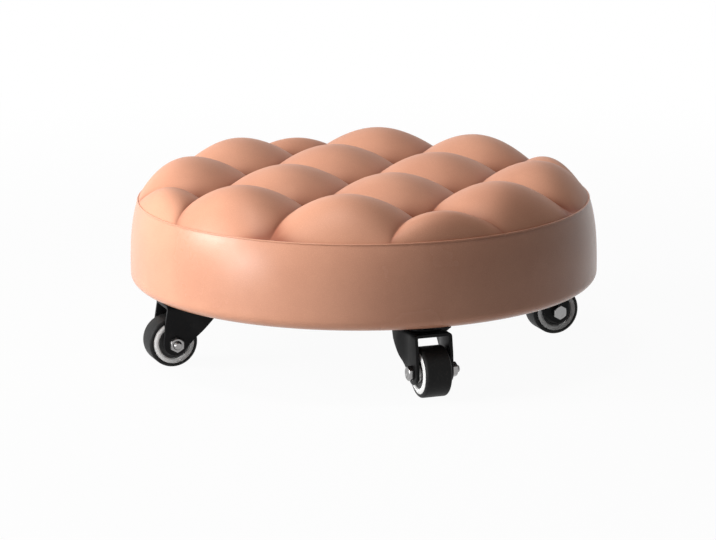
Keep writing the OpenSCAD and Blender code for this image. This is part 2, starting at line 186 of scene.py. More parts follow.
def open_group(
    kind: Effect, inputs: dict[str, float | str], outputs: Sequence[str]
) -> tuple[Graph, bpy.types.NodeOutputs, bpy.types.NodeInputs]:
    """Starts a node group with named inputs and outputs.

    Args:
        kind: The effect that the group makes.
        inputs: Default of each float input, or "vector" for a vector input.
        outputs: Names of the float outputs.

    Returns:
        The graph of the new group, the sockets of its input node and those of its output node.
    """
    tree = bpy.data.node_groups.new(kind.value, "ShaderNodeTree")
    for name, default in inputs.items():
        sort = "NodeSocketVector" if default == "vector" else "NodeSocketFloat"
        socket = tree.interface.new_socket(name, in_out="INPUT", socket_type=sort)
        if default != "vector":
            socket.default_value = default
    for name in outputs:
        tree.interface.new_socket(name, in_out="OUTPUT", socket_type="NodeSocketFloat")
    graph = Graph(tree)
    return graph, graph.add("NodeGroupInput").outputs, graph.add("NodeGroupOutput").inputs


def make_hide_grain() -> bpy.types.NodeTree:
    """Leather grain: rounded cells with fine creases, and a broad unevenness of tone."""
    graph, start, end = open_group(
        Effect.HIDE_GRAIN, {"Vector": "vector", "Scale": 900.0}, ("Height", "Tone", "Crease")
    )
    wander = graph.noise(start["Vector"], 140.0, 2.0)
    warped = graph.add("ShaderNodeVectorMath", operation="ADD")
    shift = graph.add("ShaderNodeCombineXYZ")
    for axis in range(3):
        graph.join(graph.maths("MULTIPLY", wander, 0.0011 * (axis + 1)), shift.inputs[axis])
    graph.join(start["Vector"], warped.inputs[0])
    graph.join(shift.outputs[0], warped.inputs[1])
    cells = graph.add("ShaderNodeTexVoronoi", feature="DISTANCE_TO_EDGE")
    graph.join(warped.outputs[0], cells.inputs["Vector"])
    graph.join(start["Scale"], cells.inputs["Scale"])
    dome = graph.spread(cells.outputs["Distance"], 0.0, 0.32)
    fine = graph.noise(start["Vector"], graph.maths("MULTIPLY", start["Scale"], 3.1), 2.0)
    domes, creases = graph.maths("MULTIPLY", dome, 0.8), graph.maths("MULTIPLY", fine, 0.2)
    graph.join(graph.maths("ADD", domes, creases), end["Height"])
    graph.join(graph.noise(start["Vector"], 16.0, 5.0, 0.55), end["Tone"])
    graph.join(graph.maths("SUBTRACT", 1.0, dome), end["Crease"])
    return graph.tree


def make_edge_wear() -> bpy.types.NodeTree:
    """Mask of rubbed edges: where the bevelled normal leaves the true one, broken by noise."""
    graph, start, end = open_group(
        Effect.EDGE_WEAR, {"Vector": "vector", "Radius": 0.0006, "Spread": 0.5}, ("Mask",)
    )
    soft = graph.add("ShaderNodeBevel", samples=4)
    graph.join(start["Radius"], soft.inputs["Radius"])
    true = graph.add("ShaderNodeNewGeometry")
    facing = graph.add("ShaderNodeVectorMath", operation="DOT_PRODUCT")
    graph.join(soft.outputs[0], facing.inputs[0])
    graph.join(true.outputs["Normal"], facing.inputs[1])
    turned = graph.spread(graph.maths("SUBTRACT", 1.0, facing.outputs["Value"]), 0.02, 0.22)
    patchy = graph.spread(graph.noise(start["Vector"], 260.0, 4.0, 0.6), 0.42, 0.62)
    broken = graph.maths("MULTIPLY", turned, patchy)
    graph.join(graph.maths("MULTIPLY", broken, start["Spread"]), end["Mask"])
    return graph.tree


def make_fine_dust() -> bpy.types.NodeTree:
    """Faint dust and handling marks: soft clouds with small specks."""
    graph, start, end = open_group(
        Effect.FINE_DUST, {"Vector": "vector", "Amount": 0.3}, ("Mask",)
    )
    clouds = graph.spread(graph.noise(start["Vector"], 90.0, 5.0, 0.62), 0.40, 0.75)
    specks = graph.spread(graph.noise(start["Vector"], 1900.0, 1.0), 0.66, 0.78)
    clouds, specks = graph.maths("MULTIPLY", clouds, 0.7), graph.maths("MULTIPLY", specks, 0.5)
    both = graph.maths("ADD", clouds, specks)
    graph.join(graph.maths("MULTIPLY", both, start["Amount"]), end["Mask"])
    return graph.tree


def make_metal_streaks() -> bpy.types.NodeTree:
    """Fine drawn lines of worked steel, with a slow change of shine."""
    graph, start, end = open_group(
        Effect.METAL_STREAKS, {"Vector": "vector", "Scale": 400.0}, ("Lines", "Cloud")
    )
    lines = graph.noise(graph.stretch(start["Vector"], (1.0, 1.0, 9.0)), start["Scale"], 3.0, 0.7)
    graph.join(lines, end["Lines"])
    graph.join(graph.noise(start["Vector"], 120.0, 3.0), end["Cloud"])
    return graph.tree


EFFECT_MAKERS: dict[Effect, Callable[[], bpy.types.NodeTree]] = {
    Effect.HIDE_GRAIN: make_hide_grain,
    Effect.EDGE_WEAR: make_edge_wear,
    Effect.FINE_DUST: make_fine_dust,
    Effect.METAL_STREAKS: make_metal_streaks,
}


def effect_tree(kind: Effect) -> bpy.types.NodeTree:
    """The node group of an effect, made on its first use."""
    return bpy.data.node_groups.get(kind.value) or EFFECT_MAKERS[kind]()


# Finishes


@dataclass(frozen=True)
class Finish:
    """What every finish has: a name, a colour and a basic gloss.

    Attributes:
        name: Name of the material.
        slot: The record's material slot that it stands for; not used by this script.
        colour: Linear base colour.
        roughness: Middle roughness.
        specular: Specular level of the shader.
        metallic: Metallic value of the shader.
        gloss_change: How far the roughness varies to either side of its middle.
        relief_depth: Depth of the fine relief, in metres.
    """

    name: str
    slot: str
    colour: Colour
    roughness: float = 0.5
    specular: float = 0.5
    metallic: float = 0.0
    gloss_change: float = 0.08
    relief_depth: float = 0.00004

    def material(self) -> bpy.types.Material:
        """The finish as a material, made on its first use."""
        known = bpy.data.materials.get(self.name)
        if known:
            return known
        made = bpy.data.materials.new(self.name)
        graph = cleared(made)
        plain = {
            "Base Color": (*self.colour, 1.0),
            "Roughness": self.roughness,
            "Specular IOR Level": self.specular,
            "Metallic": self.metallic,
        }
        shader = graph.add("ShaderNodeBsdfPrincipled", plain)
        out = graph.add("ShaderNodeOutputMaterial")
        graph.join(shader.outputs[0], out.inputs["Surface"])
        self.dress(graph, shader)
        return made

    def dress(self, graph: Graph, shader: bpy.types.Node) -> None:
        """Adds what this finish has beyond its plain values."""

    def surface(
        self,
        graph: Graph,
        shader: bpy.types.Node,
        colour: bpy.types.NodeSocket,
        gloss: bpy.types.NodeSocket,
        height: bpy.types.NodeSocket,
    ) -> None:
        """Feeds what changes over the surface to the shader.

        Args:
            graph: The material's graph.
            shader: Its shader.
            colour: The base colour.
            gloss: A factor from 0 to 1 that moves the roughness round its middle.
            height: Height of the fine relief, in units of its depth.
        """
        graph.join(colour, shader.inputs["Base Color"])
        wobble = graph.maths("MULTIPLY", graph.maths("SUBTRACT", gloss, 0.5), 2 * self.gloss_change)
        graph.join(graph.maths("ADD", wobble, self.roughness), shader.inputs["Roughness"])
        bump = graph.add("ShaderNodeBump", {"Strength": 1.0, "Distance": self.relief_depth})
        graph.join(height, bump.inputs["Height"])
        graph.join(bump.outputs[0], shader.inputs["Normal"])


@dataclass(frozen=True)
class Leather(Finish):
    """Smooth coated leather.

    Attributes:
        deep: Linear colour of the darker mottles and the grain's creases, and of the painted shade
            in the tufts' folds.
        grain_scale: Cells of the grain to a metre.
        mottle: Share of the deep colour where the tone is darkest.
        crease: Share of the deep colour in the grain's creases.
        fold: Share of the deep colour painted as shade along the tufts' folds and round their
            knots, where the mesh carries their attribute.
    """

    gloss_change: float = 0.02
    relief_depth: float = 0.00003
    deep: Colour = (0.28, 0.088, 0.05)
    grain_scale: float = 850.0
    mottle: float = 0.16
    crease: float = 0.10
    fold: float = 0.0

    def dress(self, graph: Graph, shader: bpy.types.Node) -> None:
        """Adds grain, mottled tone and painted shade in the folds."""
        where = graph.place()
        grain = graph.effect(Effect.HIDE_GRAIN, Vector=where, Scale=self.grain_scale).outputs
        tone = graph.spread(grain["Tone"], 0.3, 0.7, 0.0, self.mottle)
        colour = graph.blend(tone, self.colour, self.deep)
        creases = graph.maths("MULTIPLY", grain["Crease"], self.crease)
        colour = graph.blend(creases, colour, self.deep)
        # Painted shade: the deep colour laid along the tufts' folds and round their knots.
        if self.fold:
            fold = graph.spread(graph.attribute("fold"), 0.0, 1.0, 0.0, self.fold)
            colour = graph.blend(fold, colour, self.deep)
        self.surface(graph, shader, colour, grain["Tone"], grain["Height"])


@dataclass(frozen=True)
class PaintedSteel(Finish):
    """Black powder coat on sheet steel, rubbed at its edges.

    Attributes:
        worn: Linear colour of the rubbed edges.
        dusty: Linear colour of the dust.
    """

    worn: Colour = (0.05, 0.05, 0.052)
    dusty: Colour = (0.16, 0.155, 0.15)

    def dress(self, graph: Graph, shader: bpy.types.Node) -> None:
        """Adds orange peel, dust and rubbed edges."""
        where = graph.place()
        wear = graph.effect(Effect.EDGE_WEAR, Vector=where, Spread=0.5).outputs["Mask"]
        dust = graph.effect(Effect.FINE_DUST, Vector=where, Amount=0.05).outputs["Mask"]
        colour = graph.blend(dust, self.colour, self.dusty)
        peel = graph.noise(where, 700.0, 3.0)
        self.surface(graph, shader, graph.blend(wear, colour, self.worn), peel, peel)


@dataclass(frozen=True)
class BareSteel(Finish):
    """Bare or plated steel with fine working lines.

    Attributes:
        dull: Linear colour where the plating is clouded.
        lines: Scale of the working lines, to a metre.
    """

    gloss_change: float = 0.10
    relief_depth: float = 0.000015
    dull: Colour = (0.35, 0.34, 0.33)
    lines: float = 400.0

    def dress(self, graph: Graph, shader: bpy.types.Node) -> None:
        """Adds drawn lines and clouded plating."""
        where = graph.place()
        streaks = graph.effect(Effect.METAL_STREAKS, Vector=where, Scale=self.lines).outputs
        cloud = graph.spread(streaks["Cloud"], 0.35, 0.75, 0.0, 0.45)
        colour = graph.blend(cloud, self.colour, self.dull)
        self.surface(graph, shader, colour, streaks["Lines"], streaks["Lines"])


@dataclass(frozen=True)
class MouldedPlastic(Finish):
    """Injection-moulded plastic with a faint skin and handling marks.

    Attributes:
        marks: Linear colour of the dust and the marks.
        marking: Strength of the dust.
    """

    gloss_change: float = 0.06
    relief_depth: float = 0.00002
    marks: Colour = (0.45, 0.44, 0.42)
    marking: float = 0.2

    def dress(self, graph: Graph, shader: bpy.types.Node) -> None:
        """Adds a fine moulded skin, flow clouds and marks."""
        where = graph.place()
        dust = graph.effect(Effect.FINE_DUST, Vector=where, Amount=self.marking).outputs["Mask"]
        wear = graph.effect(Effect.EDGE_WEAR, Vector=where, Spread=0.3).outputs["Mask"]
        both = graph.maths("MAXIMUM", dust, wear)
        skin = graph.noise(where, 1300.0, 2.0)
        self.surface(graph, shader, graph.blend(both, self.colour, self.marks), skin, skin)


@dataclass(frozen=True)
class Rubber(Finish):
    """Soft black tyre rubber, greyed where it rolls.

    Attributes:
        greyed: Linear colour of the dust and the scuffs.
    """

    greyed: Colour = (0.03, 0.029, 0.028)

    def dress(self, graph: Graph, shader: bpy.types.Node) -> None:
        """Adds a matt skin, fine scuffs round the tread and dust."""
        where = graph.place()
        dust = graph.effect(Effect.FINE_DUST, Vector=where, Amount=0.2).outputs["Mask"]
        scuffs = graph.spread(graph.noise(where, 520.0, 5.0, 0.65), 0.5, 0.7, 0.0, 0.5)
        both = graph.maths("MAXIMUM", dust, scuffs)
        skin = graph.noise(where, 1500.0, 3.0, 0.6)
        self.surface(graph, shader, graph.blend(both, self.colour, self.greyed), skin, skin)


@dataclass(frozen=True)
class Plywood(Finish):
    """Birch plywood: flowing face grain and layered edges.

    Attributes:
        dark: Linear colour of the darker grain and plies.
        ply: Thickness of a ply, in metres.
    """

    relief_depth: float = 0.0001
    dark: Colour = (0.38, 0.22, 0.11)
    ply: float = 0.0015

    def dress(self, graph: Graph, shader: bpy.types.Node) -> None:
        """Adds face grain along X, and plies one over another on the edge."""
        where = graph.place()
        grain = graph.noise(graph.stretch(where, (0.12, 1.0, 1.0)), 260.0, 6.0, 0.62)
        parts = graph.add("ShaderNodeSeparateXYZ")
        graph.join(where, parts.inputs[0])
        layer = graph.maths("FRACT", graph.maths("DIVIDE", parts.outputs[2], 2 * self.ply))
        plies = graph.spread(graph.maths("ABSOLUTE", graph.maths("SUBTRACT", layer, 0.5)), 0.2, 0.3)
        shade = graph.maths("MULTIPLY", plies, 0.35)
        streak = graph.spread(grain, 0.4, 0.68, 0.0, 0.45)
        colour = graph.blend(graph.maths("ADD", streak, shade), self.colour, self.dark)
        self.surface(graph, shader, colour, grain, grain)


@dataclass(frozen=True)
class Foam(Finish):
    """Cut upholstery foam with open cells.

    Attributes:
        shaded: Linear colour in the cells and of the yellowed skin.
    """

    gloss_change: float = 0.04
    relief_depth: float = 0.0004
    shaded: Colour = (0.55, 0.45, 0.25)

    def dress(self, graph: Graph, shader: bpy.types.Node) -> None:
        """Adds open cells and a yellowed skin."""
        where = graph.place()
        cells = graph.add("ShaderNodeTexVoronoi", {"Scale": 750.0})
        graph.join(where, cells.inputs["Vector"])
        hollow = graph.spread(cells.outputs["Distance"], 0.1, 0.55)
        aged = graph.spread(graph.noise(where, 40.0, 4.0), 0.4, 0.7, 0.0, 0.3)
        share = graph.maths("MAXIMUM", aged, graph.maths("MULTIPLY", hollow, 0.4))
        self.surface(graph, shader, graph.blend(share, self.colour, self.shaded), hollow, hollow)


@dataclass(frozen=True)
class BondedCloth(Finish):
    """Thin black bonded cloth: pressed fibres with a dotted bond pattern.

    Attributes:
        fibre: Linear colour of the upper fibres.
        sheen: Weight of the shader's sheen.
        bond_pitch: Distance between two pressed dots, in metres.
    """

    gloss_change: float = 0.05
    relief_depth: float = 0.00012
    fibre: Colour = (0.045, 0.045, 0.048)
    sheen: float = 0.25
    bond_pitch: float = 0.0022

    def dress(self, graph: Graph, shader: bpy.types.Node) -> None:
        """Adds tangled fibres and the small pressed dots that hold them."""
        where = graph.place()
        across = graph.noise(graph.stretch(where, (1.0, 0.12, 1.0)), 2600.0, 3.0)
        along = graph.noise(graph.stretch(where, (0.12, 1.0, 1.0)), 2600.0, 3.0)
        fibres = graph.maths("MAXIMUM", across, along)
        dots = graph.add("ShaderNodeTexVoronoi", {"Scale": 1 / self.bond_pitch, "Randomness": 0.0})
        graph.join(where, dots.inputs["Vector"])
        pressed = graph.spread(dots.outputs["Distance"], 0.22, 0.34)
        share = graph.maths("MULTIPLY", graph.spread(fibres, 0.45, 0.7), pressed)
        colour = graph.blend(share, self.colour, self.fibre)
        self.surface(graph, shader, colour, fibres, graph.maths("MULTIPLY", fibres, pressed))
        shader.inputs["Sheen Weight"].default_value = self.sheen


@dataclass(frozen=True)
class TwistedNylon(Finish):
    """Waxed nylon cord with its twist, and the moulded disc that holds it.

    Attributes:
        gap: Linear colour of the painted shade between the strands.
    """

    gloss_change: float = 0.06
    relief_depth: float = 0.0001
    gap: Colour = (0.45, 0.43, 0.38)

    def dress(self, graph: Graph, shader: bpy.types.Node) -> None:
        """Adds the twist of the strands with painted shade between them, and a little wax."""
        where = graph.place()
        twist = graph.add("ShaderNodeTexWave", {"Scale": 380.0, "Distortion": 1.5, "Detail": 1.0})
        twist.bands_direction = "DIAGONAL"
        graph.join(where, twist.inputs["Vector"])
        strand = twist.outputs["Fac"]
        # Painted shade: the gap colour laid into the grooves between the strands.
        share = graph.spread(strand, 0.1, 0.6, 0.5, 0.0)
        self.surface(graph, shader, graph.blend(share, self.colour, self.gap), strand, strand)


LEATHER_TONE: Colour = (0.65, 0.322, 0.208)

# fold lays painted shade into the top's folds and round its knots.
LEATHER_TOP = Leather("tan_leather_top", "leather_top", LEATHER_TONE, 0.42, 0.12, fold=0.9)
LEATHER_BAND = Leather("tan_leather_band", "leather_band", LEATHER_TONE, 0.27, 0.28)
LEATHER_BEAD = Leather("tan_leather_bead", "leather_bead", LEATHER_TONE, 0.30, 0.2)
BLACK_PAINT = PaintedSteel("black_powder_coat", "black_paint", (0.006, 0.006, 0.0065), 0.40, 0.1)
BRIGHT_STEEL = BareSteel(
    "bright_plated_steel", "bright_steel", (0.30, 0.295, 0.295), 0.3, metallic=1.0
)
BALL_STEEL = BareSteel("polished_ball_steel", "ball_steel", (0.70, 0.70, 0.72), 0.15, metallic=1.0)
PIN_STEEL = BareSteel("turned_pin_steel", "pin_steel", (0.46, 0.46, 0.48), 0.34, metallic=1.0)
STAPLE_STEEL = BareSteel(
    "staple_wire_steel", "staple_steel", (0.60, 0.60, 0.61), 0.3, metallic=1.0
)
PALE_PLASTIC = MouldedPlastic(
    "pale_wheel_plastic", "pale_plastic", (0.90, 0.90, 0.89), 0.28, 0.6, marking=0.03
)
DARK_PLASTIC = MouldedPlastic(
    "dark_cap_plastic", "dark_plastic", (0.055, 0.055, 0.055), 0.45, 0.3, marks=(0.04, 0.04, 0.04)
)
TYRE_RUBBER = Rubber("black_tyre_rubber", "tyre_rubber", (0.009, 0.009, 0.009), 0.5, 0.14)
PLYWOOD = Plywood("birch_plywood", "plywood", (0.66, 0.49, 0.30), 0.6)
FOAM = Foam("cut_upholstery_foam", "foam", (0.82, 0.72, 0.46), 0.9)
BLACK_CLOTH = BondedCloth("black_bonded_cloth", "black_cloth", (0.012, 0.012, 0.013), 0.85)
NYLON = TwistedNylon("waxed_nylon_cord", "nylon_cord", (0.74, 0.72, 0.66), 0.5)


# Mesh helpers


def lathe(bm: bmesh.types.BMesh, outline: Outline, steps: int, closed: bool = True) -> None:
    """Spins an outline round the Z axis.

    Args:
        bm: The mesh that the shape goes into.
        outline: Points as (radius, height).
        steps: Facets of the full turn.
        closed: Whether the last point joins the first.
    """
    points = [bm.verts.new((r, 0, z)) for r, z in outline]
    edges = [bm.edges.new(pair) for pair in zip(points, points[1:])]
    if closed:
        edges.append(bm.edges.new((points[-1], points[0])))
    bmesh.ops.spin(
        bm,
        geom=points + edges,
        cent=(0, 0, 0),
        axis=UP,
        angle=FULL_TURN,
        steps=steps,
        use_merge=True,
    )
    bmesh.ops.remove_doubles(bm, verts=bm.verts, dist=1e-4)
    bmesh.ops.recalc_face_normals(bm, faces=bm.faces)


def add_shape(bm: bmesh.types.BMesh, part: bmesh.types.BMesh) -> None:
    """Adds a shape to a mesh as a shell of its own, and frees it."""
    scrap = bpy.data.meshes.new("scrap")
    part.to_mesh(scrap)
    part.free()
    bm.from_mesh(scrap)
    bpy.data.meshes.remove(scrap)


def arc(
    centre: tuple[float, float], radius: float, start: float, end: float, steps: int
) -> Outline:
    """Points along an arc, with angles in degrees."""
    return [
        (
            centre[0] + radius * math.cos(math.radians(start + (end - start) * i / steps)),
            centre[1] + radius * math.sin(math.radians(start + (end - start) * i / steps)),
        )
        for i in range(steps + 1)
    ]


def sharp_edges(bm: bmesh.types.BMesh, least: float = 40.0) -> list[bmesh.types.BMEdge]:
    """Edges between two faces that meet at more than the least angle, in degrees."""
    limit = math.radians(least)
    return [e for e in bm.edges if len(e.link_faces) == 2 and e.calc_face_angle(0.0) > limit]


def soften(bm: bmesh.types.BMesh, width: float, segments: int = 2, least: float = 40.0) -> None:
    """Rounds the sharp edges of a mesh by width."""
    bmesh.ops.bevel(
        bm,
        geom=sharp_edges(bm, least),
        offset=width,
        offset_type="OFFSET",
        segments=segments,
        profile=0.5,
        affect="EDGES",
        material=-1,
        clamp_overlap=True,
    )


def combined(
    first: bmesh.types.BMesh, second: bmesh.types.BMesh, operation: str
) -> bmesh.types.BMesh:
    """Joins, cuts or intersects two closed meshes.

    Args:
        first: The mesh that is worked on. It is freed.
        second: The mesh that works on it. It is freed.
        operation: UNION, DIFFERENCE or INTERSECT.

    Returns:
        A new mesh with the result.
    """
    pair = []
    for bm in (first, second):
        mesh = bpy.data.meshes.new("scrap")
        bm.to_mesh(mesh)
        bm.free()
        pair.append(bpy.data.objects.new("scrap", mesh))
        bpy.context.scene.collection.objects.link(pair[-1])
    cut = pair[0].modifiers.new("cut", "BOOLEAN")
    cut.object, cut.operation, cut.solver = pair[1], operation, "EXACT"
    result = bmesh.new()
    result.from_object(pair[0], bpy.context.evaluated_depsgraph_get())
    for scrap in pair:
        mesh = scrap.data
        bpy.data.objects.remove(scrap)
        bpy.data.meshes.remove(mesh)
    bmesh.ops.remove_doubles(result, verts=result.verts, dist=1e-4)
    return result


def whole(bm: bmesh.types.BMesh) -> list[object]:
    """All vertices, edges and faces of a mesh."""
    return [*bm.verts, *bm.edges, *bm.faces]


def cut_across(
    bm: bmesh.types.BMesh, geom: Iterable[object], point: Triple, normal: Triple
) -> None:
    """Adds the edges where a plane crosses part of a mesh.

    Args:
        bm: The mesh.
        geom: The vertices, edges and faces that are cut.
        point: A point of the plane.
        normal: The plane's normal.
    """
    bmesh.ops.bisect_plane(bm, geom=list(geom), dist=1e-5, plane_co=point, plane_no=normal)


def share_of(value: float, start: float, end: float) -> float:
    """How far a value lies from a start to an end, held between 0 and 1."""
    return max(0.0, min(1.0, (value - start) / (end - start)))


def moved(bm: bmesh.types.BMesh, placing: Matrix) -> bmesh.types.BMesh:
    """Moves a whole mesh and returns it."""
    bmesh.ops.transform(bm, matrix=placing, verts=bm.verts)
    return bm


def make_piece(
    name: str,
    shape: bmesh.types.BMesh,
    finish: Finish,
    body: str,
    replaces: Iterable[str] = (),
    placing: Matrix | None = None,
    smooth: float = 34.0,
) -> bpy.types.Object:
    """Turns a mesh drawn in millimetres into a piece that rides on a body.

    Args:
        name: The piece's name.
        shape: The mesh. It is kept, so that it can be placed again.
        finish: What it is made of.
        body: The body that it moves with.
        replaces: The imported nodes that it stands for.
        placing: Where it goes, in metres, after the change of unit.
        smooth: Faces that meet at less than this angle shade as one, in degrees.

    Returns:
        The new object.
    """
    mesh = bpy.data.meshes.new(name)
    shape.to_mesh(mesh)
    mesh.transform((placing or Matrix.Identity(4)) @ Matrix.Scale(MM, 4))
    mesh.polygons.foreach_set("use_smooth", [True] * len(mesh.polygons))
    mesh.set_sharp_from_angle(angle=math.radians(smooth))
    mesh.materials.append(finish.material())
    piece = bpy.data.objects.new(name, mesh)
    bpy.context.scene.collection.objects.link(piece)
    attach(piece, body)
    if replaces:
        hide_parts(*replaces)
    LOG.info("%-24s %6d faces on %s", name, len(mesh.polygons), body)
    return piece


def dress_node(name: str, finish: Finish) -> None:
    """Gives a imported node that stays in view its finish."""
    node = frame["nodes"][name]
    if not node.material_slots:
        node.data.materials.append(finish.material())
    for slot in node.material_slots:
        slot.material = finish.material()
    LOG.info("%-24s packed node, %s", name, finish.name)


# The seat


@dataclass(frozen=True)
class SeatSizes:
    """Sizes of the seat, in millimetres, as the source of the part has them."""

    # Radii
    seat_r: float = 180.0
    seam_r: float = 174.0
    cover_r: float = 173.3
    fold_r: float = 166.7
    core_r: float = 166.0
    dust_r: float = 163.7
    staple_r: float = 156.7
    hem_r: float = 146.7

    # Heights over the floor
    seam_z: float = 119.8
    pad_low: float = 113.8
    board_top: float = 68.3
    wide_z: float = 64.2
    board_low: float = 56.3
    seat_low: float = 55.1
    plate_top: float = 54.7

    # The side's taper and lower edge, and what lies under it
    inset: float = 6.0
    edge_w: float = 13.3
    edge_h: float = 9.1
    leather_t: float = 1.2
    gap: float = 0.3
    cloth_t: float = 0.3
    staple_turn: float = 16.5

    def band_outline(self, inside: float, top: float, steps: int = 22) -> Outline:
        """Outline of the side from a height down to the lower fold.

        Args:
            inside: Distance inside the band's outer face.
            top: Height where the outline starts.
            steps: Straight pieces of the upper curve.

        Returns:
            Points as (radius, height).
        """
        first = (self.seam_z - top) / (self.seam_z - self.wide_z)
        upper = [first + (1 - first) * i / steps for i in range(steps + 1)]
        points = [
            (
                self.seat_r - inside - self.inset * (1 - t) ** 3,
                self.seam_z - t * (self.seam_z - self.wide_z),
            )
            for t in upper
        ]
        for i in range(1, steps // 2 + 1):
            a = math.pi * i / (2 * (steps // 2))
            points.append(
                (
                    self.fold_r + (self.edge_w - inside) * math.cos(a),
                    self.wide_z - (self.edge_h - inside) * math.sin(a),
                )
            )
        return points


SEAT = SeatSizes()


@dataclass(frozen=True)
class TuftedTop:
    """The tufted cushion: a closed, crowned pad of leather over wadding.

    The grid of tufts is one unit to a tuft, with its outer cells spread to the disc's edge.

    Attributes:
        rows: Tufts across the seat.
        turn: Turn of the grid, in degrees.
        knot_rise: Height of the drawn-down knots over the seam.
        middle_sag: How much lower the knots lie in the middle of the seat.
        fold_rise: Rise of a fold halfway between two knots.
        tuft_rise: Rise of a tuft's top over its knots.
        power: Fullness of a tuft: the lower, the fuller.
        rim_power: How late the outer tufts turn down to the seam.
        rim_blunt: How round they turn down.
        pit_depth: Depth of the pit at each knot.
        pit_r: Radius of that pit.
        line_shade: Strength of the painted shade along a fold, as a share.
        line_w: Width over which it fades.
        knot_shade: Strength of the painted shade round a knot, as a share.
        knot_r: Radius over which it fades.
        cells: Cells of the mesh to a tuft.
    """

    rows: int = 4
    turn: float = -23.7
    knot_rise: float = 6.2
    middle_sag: float = 1.0
    fold_rise: float = 6.8
    tuft_rise: float = 23.9
    power: float = 0.78
    rim_power: float = 13.0
    rim_blunt: float = 0.82
    pit_depth: float = 5.0
    pit_r: float = 14.0
    line_shade: float = 0.6
    line_w: float = 4.0
    knot_shade: float = 0.8
    knot_r: float = 15.0
    cells: int = 52

    @property
    def reach(self) -> float:
        """Radius of the disc, in tufts."""
        return self.rows / 2

    @property
    def pitch(self) -> float:
        """Width of a tuft, in millimetres."""
        return SEAT.cover_r / self.reach

    @property
    def placing(self) -> Matrix:
        """Turns the grid to its place on the seat."""
        return Matrix.Rotation(math.radians(self.turn), 4, "Z")

    def grid_line(self, s: float) -> float:
        """Moves a line of an even grid closer to the nearest fold, in tufts."""
        line = math.floor(s + 1e-6)
        part = max(0.0, s - line)
        return line + 0.5 * part + 0.25 * (1 - math.cos(math.pi * part))

    def disc_point(self, s: float, t: float) -> tuple[float, float]:
        """Moves a grid point from the square to the disc, with the folds kept straight."""
        core = self.reach - 1
        a, b = abs(s), abs(t)
        if a > core and b > core:
            x, y = self.corner_point(a - core, b - core)
        elif a > core:
            x, y = core + (a - core) * (math.sqrt(self.reach**2 - b * b) - core), b
        elif b > core:
            x, y = a, core + (b - core) * (math.sqrt(self.reach**2 - a * a) - core)
        else:
            x, y = a, b
        return math.copysign(x, s), math.copysign(y, t)

    def corner_point(self, a: float, b: float) -> tuple[float, float]:
        """A point of a corner cell, spread so that its outer sides follow the disc's edge.

        Args:
            a: Share of the cell's width, from its inner corner.
            b: Share of its height.

        Returns:
            The point, in tufts.
        """
        core, full = self.reach - 1, self.reach
        wide = math.sqrt(full * full - core * core)
        low = math.asin(core / full)
        rest = math.pi / 4 - low
        left = (core, core + b * (wide - core))
        lower = (core + a * (wide - core), core)
        right = (full * math.cos(low + b * rest), full * math.sin(low + b * rest))
        upper = (full * math.sin(low + a * rest), full * math.cos(low + a * rest))
        tip = full * math.sqrt(0.5)
        corners = ((core, core), (wide, core), (core, wide), (tip, tip))
        shares = ((1 - a) * (1 - b), a * (1 - b), (1 - a) * b, a * b)
        return tuple(
            (1 - a) * left[k]
            + a * right[k]
            + (1 - b) * lower[k]
            + b * upper[k]
            - sum(share * corner[k] for share, corner in zip(shares, corners))
            for k in (0, 1)
        )

    def swell(self, s: float) -> float:
        """Swell of the tufts across one row: nothing at a fold and full in the middle."""
        return abs(math.sin(math.pi * s)) ** self.power

    def height(self, x: float, y: float) -> float:
        """Height of the tufted face over a point, given in tufts."""
        out = min(1.0, math.hypot(x, y) / self.reach)
        rim = (1 - out**self.rim_power) ** self.rim_blunt
        fold = self.fold_rise * (self.swell(x) + self.swell(y))
        peak = (self.tuft_rise - 2 * self.fold_rise) * self.swell(x) * self.swell(y)
        pit = self.pit_depth * math.exp(-((self.knot_distance(x, y) / self.pit_r) ** 2))
        floor = self.knot_rise - pit - self.middle_sag * (1 - out * out)
        return SEAT.seam_z + rim * (floor + fold + peak)

    def knot_distance(self, x: float, y: float) -> float:
        """Distance from a point to the nearest crossing of two folds, in millimetres."""
        return math.hypot(x - round(x), y - round(y)) * self.pitch

    def fold_shade(self, x: float, y: float) -> float:
        """Share of painted shade at a point: strongest on a fold's line and round a knot, fading a
        few millimetres away.
        """
        near = min(abs(x - round(x)), abs(y - round(y))) * self.pitch
        line = self.line_shade * math.exp(-near / self.line_w)
        knot = self.knot_shade * math.exp(-((self.knot_distance(x, y) / self.knot_r) ** 2))
        return min(1.0, line + knot)

    def shape(self) -> bmesh.types.BMesh:
        """The tufted face with its skirt and flat underside, as one closed mesh."""
        bm = bmesh.new()
        # The fold attribute carries painted shade along the folds and round the knots to the
        # leather.
        fold = bm.verts.layers.float.new("fold")
        lines = self.cells * self.rows
        bmesh.ops.create_grid(bm, x_segments=lines, y_segments=lines, size=self.reach)
        for v in bm.verts:
            x, y = self.disc_point(self.grid_line(v.co.x), self.grid_line(v.co.y))
            v[fold] = self.fold_shade(x, y)
            v.co = (x * self.pitch, y * self.pitch, self.height(x, y))
        rim = [e for e in bm.edges if e.is_boundary]
        for drop, scale in ((SEAT.seam_z - SEAT.pad_low, 1.0), (0.0, 0.96), (0.0, 0.5)):
            grown = bmesh.ops.extrude_edge_only(bm, edges=rim)["geom"]
            fresh = [g for g in grown if isinstance(g, bmesh.types.BMVert)]
            rim = [g for g in grown if isinstance(g, bmesh.types.BMEdge) and g.is_boundary]
            bmesh.ops.translate(bm, verts=fresh, vec=(0, 0, -drop))
            bmesh.ops.scale(bm, verts=fresh, vec=(scale, scale, 1.0))
        bmesh.ops.holes_fill(bm, edges=rim, sides=0)
        bmesh.ops.recalc_face_normals(bm, faces=bm.faces)
        return moved(bm, self.placing)

    def build(self) -> None:
        piece = make_piece(
            "tufted_cushion", self.shape(), LEATHER_TOP, "seat", ["tufted_top"], smooth=180.0
        )


